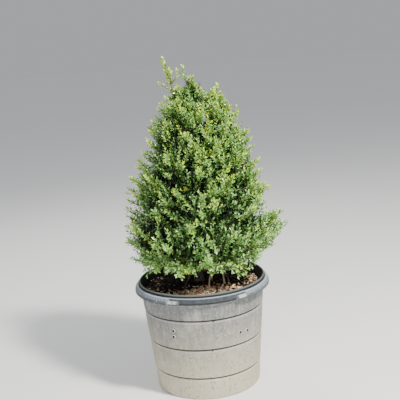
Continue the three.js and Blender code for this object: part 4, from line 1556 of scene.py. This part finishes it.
SIDE_LEAFY_FROM = 0.42
LONG_LEAFY_FROM = 0.2
SPRAY = {"shoots": [], "twig ends": [], "lone shoots": [], "lone ends": [], "inner shoots": []}
for name, parts in wood.items():
    own = next((mass for mass in MASSES if mass.name == name), None)
    lift, lengths = SHOOT_HABITS.get(name.split("_")[0], SHOOT_HABITS["middle"])
    if own is None or own.open:
        sparse = np.concatenate([parts["main"], parts["stem"]])
        SPRAY["lone shoots"].append(leafy_shoots(None, sparse, *BARE_HABIT, rng))
    else:
        both = np.concatenate([parts["side"], parts["main"]])
        SPRAY["shoots"].append(leafy_shoots(own, both, DENSE_SHARES, SHOOT_SPACING, lengths, lift, rng))
        SPRAY["twig ends"].append(outer_part(parts["side"], SIDE_LEAFY_FROM))
        inside = np.concatenate([parts["main"], parts["stem"]])
        SPRAY["inner shoots"].append(leafy_shoots(own, inside, *INNER_HABIT, rng))
    SPRAY["lone shoots"].append(leafy_shoots(None, parts["long"], *LONG_HABIT, rng))
    SPRAY["lone ends"].append(outer_part(parts["long"], LONG_LEAFY_FROM))
limb_paths = np.array([limb.points(np.linspace(0, 1, TWIG_STEPS + 1)) for limb in LIMBS])
SPRAY["inner shoots"].append(leafy_shoots(None, limb_paths[:1], *TRUNK_HABIT, rng))
SPRAY["inner shoots"].append(leafy_shoots(None, limb_paths[1:], *BOUGH_HABIT, rng))
SPRAY = {kind: np.concatenate(rows) for kind, rows in SPRAY.items()}
print({kind: len(rows) for kind, rows in SPRAY.items()})


# %% Twigs as tubes
def lines_object(name, paths, radii):
    """A line drawing of paths, with the thickness of the wood at each point."""
    count, steps = paths.shape[:2]
    first = np.arange(count)[:, None] * steps + np.arange(steps - 1)[None, :]
    edges = np.stack([first.ravel(), first.ravel() + 1], axis=1)
    piece = mesh_object(name, paths.reshape(-1, 3) * MILLIMETRE, (), [tuple(edge) for edge in edges])
    add_attribute(piece, "thickness", np.asarray(radii, np.float32).ravel() * MILLIMETRE)
    return piece


def tapered(count, steps, start, end):
    return np.tile(np.linspace(start, end, steps), (count, 1))


# radius of each kind of wood at its root and its tip
WOOD_SIZES = {"stem": (4.0, 2.4), "main": (2.7, 1.5), "long": (2.2, 0.7), "side": (1.7, 0.8)}
SHOOT_SIZES = (0.95, 0.5)
SHOOT_STEPS = 3
twig_paths = {kind: np.concatenate([w[kind] for w in wood.values()]) for kind in WOOD_SIZES}
brown = np.concatenate(list(twig_paths.values()))
brown_radii = np.concatenate([
    tapered(len(twig_paths[kind]), TWIG_STEPS + 1, *sizes) for kind, sizes in WOOD_SIZES.items()
])
t = np.linspace(0, 1, SHOOT_STEPS)[None, :, None]
drawn = np.concatenate([SPRAY[kind] for kind in ("shoots", "lone shoots", "inner shoots")])
shoot_paths = arched(*(rows[:, None] for rows in drawn.transpose(1, 0, 2)), t)

TWIG_BARK = bark_finish("twig_bark", colour(66, 58, 44), colour(126, 114, 88), colour(116, 120, 84))
GREEN_BARK = bark_finish("green_shoot_bark", colour(84, 94, 48), colour(134, 138, 78), colour(152, 138, 86))
twigs = made_real(lines_object("twigs", brown, brown_radii), TUBES, TUBES_INPUTS, {
    "Sides": 4, "Thickness Scale": 1.0, "Finish": TWIG_BARK,
})
settle(twigs, "bark", *FOLIAGE_NODES)
green_radii = tapered(len(shoot_paths), SHOOT_STEPS, *SHOOT_SIZES)
green = made_real(lines_object("green_shoots", shoot_paths, green_radii), TUBES, TUBES_INPUTS, {
    "Sides": 3, "Thickness Scale": 1.0, "Finish": GREEN_BARK,
})
settle(green, "bark", *FOLIAGE_NODES)

# %% [markdown]
# Leaves
#
# A leaf of this holly is a small glossy oval, widest past its middle, folded a little along its rib and
# curled down at the tip. Six triangles carry that, since there are tens of thousands of them. Leaves stand
# round a shoot a golden angle apart, close together, smaller and more upright towards its tip. Twig ends
# carry them further apart.

# %% Leaf and its places
# length, spacing and bare share of the leaves on each kind of spray
LEAF_TABLE = {
    "shoots": (15, 4.2, 0.14), "twig ends": (15, 7, 0.0), "lone shoots": (17.5, 4.4, 0.12),
    "lone ends": (18, 4.4, 0.0), "inner shoots": (19, 7, 0.1),
}
LEAF_TIP_ANGLE = 20
LEAF_ANGLE = 54
LEAF_ANGLE_STEP = 9
LEAF_TIP_SIZES = (0.68, 0.8, 0.88, 0.94)
LEAF_SIZES = (0.82, 1.14)
LEAF_TURN_SPREAD = 0.2
LEAF_ANGLE_SPREAD = 8
LEAF_FACING_SPREAD = 0.22
LEAF_LIFT = 0.35
LEAF_FEWEST = 3
LEAF_OUTLINE = (
    (0.0, 0.0, 0.0), (0.14, 0.24, 0.045), (0.245, 0.56, 0.075), (0.17, 0.86, 0.03), (0.0, 1.0, -0.06),
)


def leaf_blade():
    """One leaf, a unit long along Y, facing Z: its base, its tip and three points down each side."""
    base, *right, tip = LEAF_OUTLINE
    left = [(-x, y, z) for x, y, z in right]
    points = [base, tip, *right, *left]
    faces = [(0, 2, 3), (0, 3, 1), (3, 4, 1), (0, 1, 6), (0, 6, 5), (6, 1, 7)]
    return mesh_object("leaf_blade", points, faces)


def leaf_places(sprays, leaf_lengths, spacings, bare_shares, rng):
    """Every leaf on the sprays: place, along, facing, size, rank from its spray's tip, and spray."""
    start, bend, end = sprays.transpose(1, 0, 2)
    lengths = np.linalg.norm(bend - start, axis=1) + np.linalg.norm(end - bend, axis=1)
    leafy = lengths * (1 - bare_shares)
    counts = np.maximum(LEAF_FEWEST, np.floor(leafy / spacings)).astype(int) + 1
    spray = np.repeat(np.arange(len(counts)), counts)
    rank = np.arange(len(spray)) - np.repeat(np.cumsum(counts) - counts, counts)
    spacing = (leafy / (counts - 1))[spray]
    share = 1 - rank * spacing / lengths[spray]
    s = share[:, None]
    start, bend, end = start[spray], bend[spray], end[spray]
    places = arched(start, bend, end, s)
    stem = unit((1 - s) * (bend - start) + s * (end - bend))
    turn = rank * GOLDEN_ANGLE + rng.uniform(0, 2 * math.pi, len(counts))[spray]
    turn += rng.normal(0, LEAF_TURN_SPREAD, len(spray))
    degrees = np.minimum(LEAF_ANGLE, LEAF_TIP_ANGLE + LEAF_ANGLE_STEP * rank)
    angle = np.radians(degrees + rng.normal(0, LEAF_ANGLE_SPREAD, len(spray)))[:, None]
    along = stem * np.cos(angle) + perpendicular(stem, turn) * np.sin(angle)
    facing = stem + LEAF_LIFT * UP + rng.normal(0, LEAF_FACING_SPREAD, along.shape)
    facing = unit(facing - along * np.sum(facing * along, axis=1, keepdims=True))
    steps = np.array(LEAF_TIP_SIZES + (1.0,))
    size = leaf_lengths[spray] * steps[np.minimum(rank, len(steps) - 1)]
    size = size * rng.uniform(*LEAF_SIZES, len(spray))
    return places, along, facing, size, rank, spray


rng = np.random.default_rng(57)
sprays = np.concatenate(list(SPRAY.values()))
kinds = np.concatenate([np.full(len(rows), order) for order, rows in enumerate(SPRAY.values())])
by_kind = np.array([LEAF_TABLE[kind] for kind in SPRAY])[kinds].T
leaf_place, leaf_along, leaf_facing, leaf_size, leaf_rank, leaf_spray = leaf_places(sprays, *by_kind, rng)
print(len(leaf_place), "leaves,", round(len(leaf_place) / len(sprays), 1), "on a spray")

# %% [markdown]
# Colour by spray
#
# Old leaves inside the crown are nearly black-green and those on the outside mid green, which is partly
# painted shade. Leaves are also painted darker as shade in the hollows and away from the tip of each spray,
# and lighter as light on the spires and on the sunny side. The last leaves of many shoots are this season's
# growth: yellow-green high up, pale green low down, gold on a few tips. Each spray is dealt a level by its
# place and by chance, its leaves one of four greens by that level, and the last leaves of a fresh one a
# lighter tone. One piece holds all leaves of a tone, and there are eight.

# %% Tones of the leaves
# colour, roughness and coat of each tone
TONES = {
    "deep": (colour(12, 26, 10), 0.34, 0.5), "dark": (colour(37, 69, 32), 0.32, 0.9),
    "mid": (colour(100, 151, 77), 0.34, 0.8), "bright": (colour(146, 192, 102), 0.38, 0.6),
    "fresh": (colour(158, 208, 80), 0.44, 0.3), "new": (colour(192, 220, 88), 0.46, 0.2),
    "gold": (colour(202, 224, 74), 0.48, 0.1), "pale": (colour(172, 216, 138), 0.44, 0.3),
}
GREENS = 4
SUN_SIDE = unit(np.array([0.5, -0.7, 0.4]))
SUN_LIFT = 60
DEPTH_OF_DARK = 72
SPIRES_FROM = 1060
SPIRES_RANGE = 140
# what a spray's level is made of
BASE_LEVEL = 0.65
OUTSIDE_LIGHT = 2.6
LUCK_LIGHT = 1.1
SUN_LIGHT = 0.65
SPIRE_LIGHT = 0.9
HEIGHT_SHADE = 0.37
HOLLOW_SHADE = 1.8
INNER_SHADE = 2
RANK_SHADE = 0.11
RANK_SHADE_LIMIT = 6
LEAF_LUCK = 0.5
# how many sprays are fresh, newest and golden, and how many of their last leaves show it
FRESH_SHARE = 0.36
FRESH_LESS_HIGH = 0.16
FRESH_IN_SUN = 0.45
FRESH_ON_SPIRES = 0.2
FRESH_LONE = 0.4
NEWEST_LOW = 0.25
GOLDEN_SHARE = 0.04
GOLDEN_LONE = 0.1
GOLDEN_LEAVES = 5
NEW_LEAVES = 3
FRESH_LEAVES = (3, 6)
LONE_KINDS = (2, 3)
INNER_KIND = 4
FRESH, NEW, GOLD, PALE = (list(TONES).index(tone) for tone in ("fresh", "new", "gold", "pale"))
NEW_GROWTH_FROM = 620
NEW_GROWTH_RANGE = 260


def tones_of_leaves(rng):
    """The tone of each leaf, as an index into the tones."""
    ends = sprays[:, 2]
    lone = np.isin(kinds, LONE_KINDS)
    depth = np.maximum(0, crown_radius(ends[:, 2]) - off_middle(ends))
    depth = np.where(lone, 0, depth)
    outside = np.clip(1 - depth / DEPTH_OF_DARK, 0, 1)
    outward = unit(ends - crown_middle(ends[:, 2]) + UP * SUN_LIFT)
    sunny = np.clip(outward @ SUN_SIDE, 0, 1)
    luck = rng.random(len(ends))
    high = np.clip((ends[:, 2] - NEW_GROWTH_FROM) / NEW_GROWTH_RANGE, 0, 1)
    hollow = hollow_share(ends)
    spire = np.clip((ends[:, 2] - SPIRES_FROM) / SPIRES_RANGE, 0, 1)
    inner = kinds == INNER_KIND
    # Painted light and shade: a spray's level rises on the outside, on the sunny side and on the spires,
    # and falls in the hollows and on inner shoots.
    level = BASE_LEVEL + OUTSIDE_LIGHT * outside + LUCK_LIGHT * (luck - 0.5) + SUN_LIGHT * sunny
    level += SPIRE_LIGHT * spire - HEIGHT_SHADE * high - HOLLOW_SHADE * hollow - INNER_SHADE * inner
    share = FRESH_SHARE - FRESH_LESS_HIGH * high + FRESH_IN_SUN * sunny + FRESH_ON_SPIRES * spire
    fresh = rng.random(len(ends)) < share * outside + FRESH_LONE * lone
    fresh &= ~inner & (hollow < 0.5)
    golden = fresh & (rng.random(len(ends)) < (GOLDEN_SHARE + GOLDEN_LONE * lone) * high)
    newest = rng.random(len(ends)) < NEWEST_LOW + (1 - NEWEST_LOW) * high
    tone = level[leaf_spray] - RANK_SHADE * np.minimum(leaf_rank, RANK_SHADE_LIMIT)
    tone = np.round(tone + rng.normal(0, LEAF_LUCK, len(leaf_spray)) + 0.5)
    tone = np.clip(tone, 0, GREENS - 1).astype(int)
    tip = leaf_rank < np.where(luck[leaf_spray] > 0.5, FRESH_LEAVES[1], FRESH_LEAVES[0])
    last = np.where(newest[leaf_spray], NEW, PALE)
    tone = np.where(fresh[leaf_spray] & tip, np.where(leaf_rank < NEW_LEAVES, last, FRESH), tone)
    return np.where(golden[leaf_spray] & (leaf_rank < GOLDEN_LEAVES), GOLD, tone)


leaf_tone = tones_of_leaves(rng)
blade = leaf_blade()
leaf_turn = eulers(leaf_along, leaf_facing)
for index, (tone, (shade, roughness, coat)) in enumerate(TONES.items()):
    chosen = leaf_tone == index
    leaf = Finish(f"leaf_{tone}", Specular_IOR_Level=0.25, Coat_Weight=coat, Coat_Roughness=0.12)
    mottle = leaf.noise(95, 2)
    mottled = leaf.blend(leaf.ease(mottle, 0.3, 0.7), darkened(shade, 0.72), shade)
    leaf.bump(leaf.noise(700, 2), 0.15, 0.0004)
    leaf_finish = leaf.shade(Base_Color=mottled, Roughness=mottle * 0.2 + (roughness - 0.1))
    sizes = np.repeat(leaf_size[chosen, None], 3, axis=1) * MILLIMETRE
    cloud = point_cloud(f"leaves_{tone}", leaf_place[chosen], leaf_turn[chosen], sizes)
    piece = made_real(cloud, COPIES, COPIES_INPUTS, {
        "Copy": blade, "Size Change": 0.08, "Seed": index, "Finish": leaf_finish,
    })
    settle(piece, "foliage", *FOLIAGE_NODES)
bpy.data.objects.remove(blade)

# %% [markdown]
# Studio
#
# A pale floor and a pale sky, a little dimmer at the horizon, give soft light from everywhere. A small
# strong lamp high on the front right stands for the sun, a wide one low in front keeps the shaded side
# readable, and one high behind draws the edge of the crown.

# %% Floor and lights
FLOOR_HALF = 40
SKY_STRENGTH = 0.68
HORIZON_SHARE = 0.8
AIM_HEIGHT = 0.7
# place, size, watts and tint of each lamp
LAMPS = {
    "key": ((1.95, -2.0, 3.8), 0.5, 420, (1.0, 0.965, 0.9)),
    "fill": ((-0.9, -3.5, 1.0), 2.2, 48, (0.95, 0.98, 1.0)),
    "rim": ((-1.2, 2.6, 3.2), 1.4, 60, (1.0, 0.98, 0.94)),
}


def area_lamp(name, place, size, watts, tint):
    data = bpy.data.lights.new(name, "AREA")
    data.size = size
    data.energy = watts
    data.color = tint
    lamp = new_object(name, data)
    lamp.location = place
    aim = Vector((0, 0, AIM_HEIGHT)) - Vector(place)
    lamp.rotation_euler = aim.to_track_quat("-Z", "Y").to_euler()


corners = [(x * FLOOR_HALF, y * FLOOR_HALF, 0) for x, y in ((-1, -1), (1, -1), (1, 1), (-1, 1))]
floor = mesh_object("floor", corners, [(0, 1, 2, 3)])
pale = Finish("pale_floor", Roughness=0.9, Specular_IOR_Level=0.2)
floor.data.materials.append(pale.shade(Base_Color=colour(236, 236, 236)))

world = bpy.data.worlds.new("studio")
world.use_nodes = True
background = world.node_tree.nodes["Background"]
sky = Graph(world.node_tree)
direction = sky.node("ShaderNodeTexCoord", output="Generated")
rise = sky.node("ShaderNodeSeparateXYZ", {}, {"Vector": direction}, "Z")
lift = sky.node("ShaderNodeMapRange", {"interpolation_type": "SMOOTHSTEP"}, {
    "Value": rise, "From Min": 0.0, "From Max": 0.8, "To Min": HORIZON_SHARE, "To Max": 1.0,
})
background.inputs["Color"].default_value = colour(228, 231, 236)
sky.feed(background.inputs["Strength"], lift * SKY_STRENGTH)
bpy.context.scene.world = world
for name, settings in LAMPS.items():
    area_lamp(name, *settings)
print(len(LAMPS), "lamps and a pale sky")
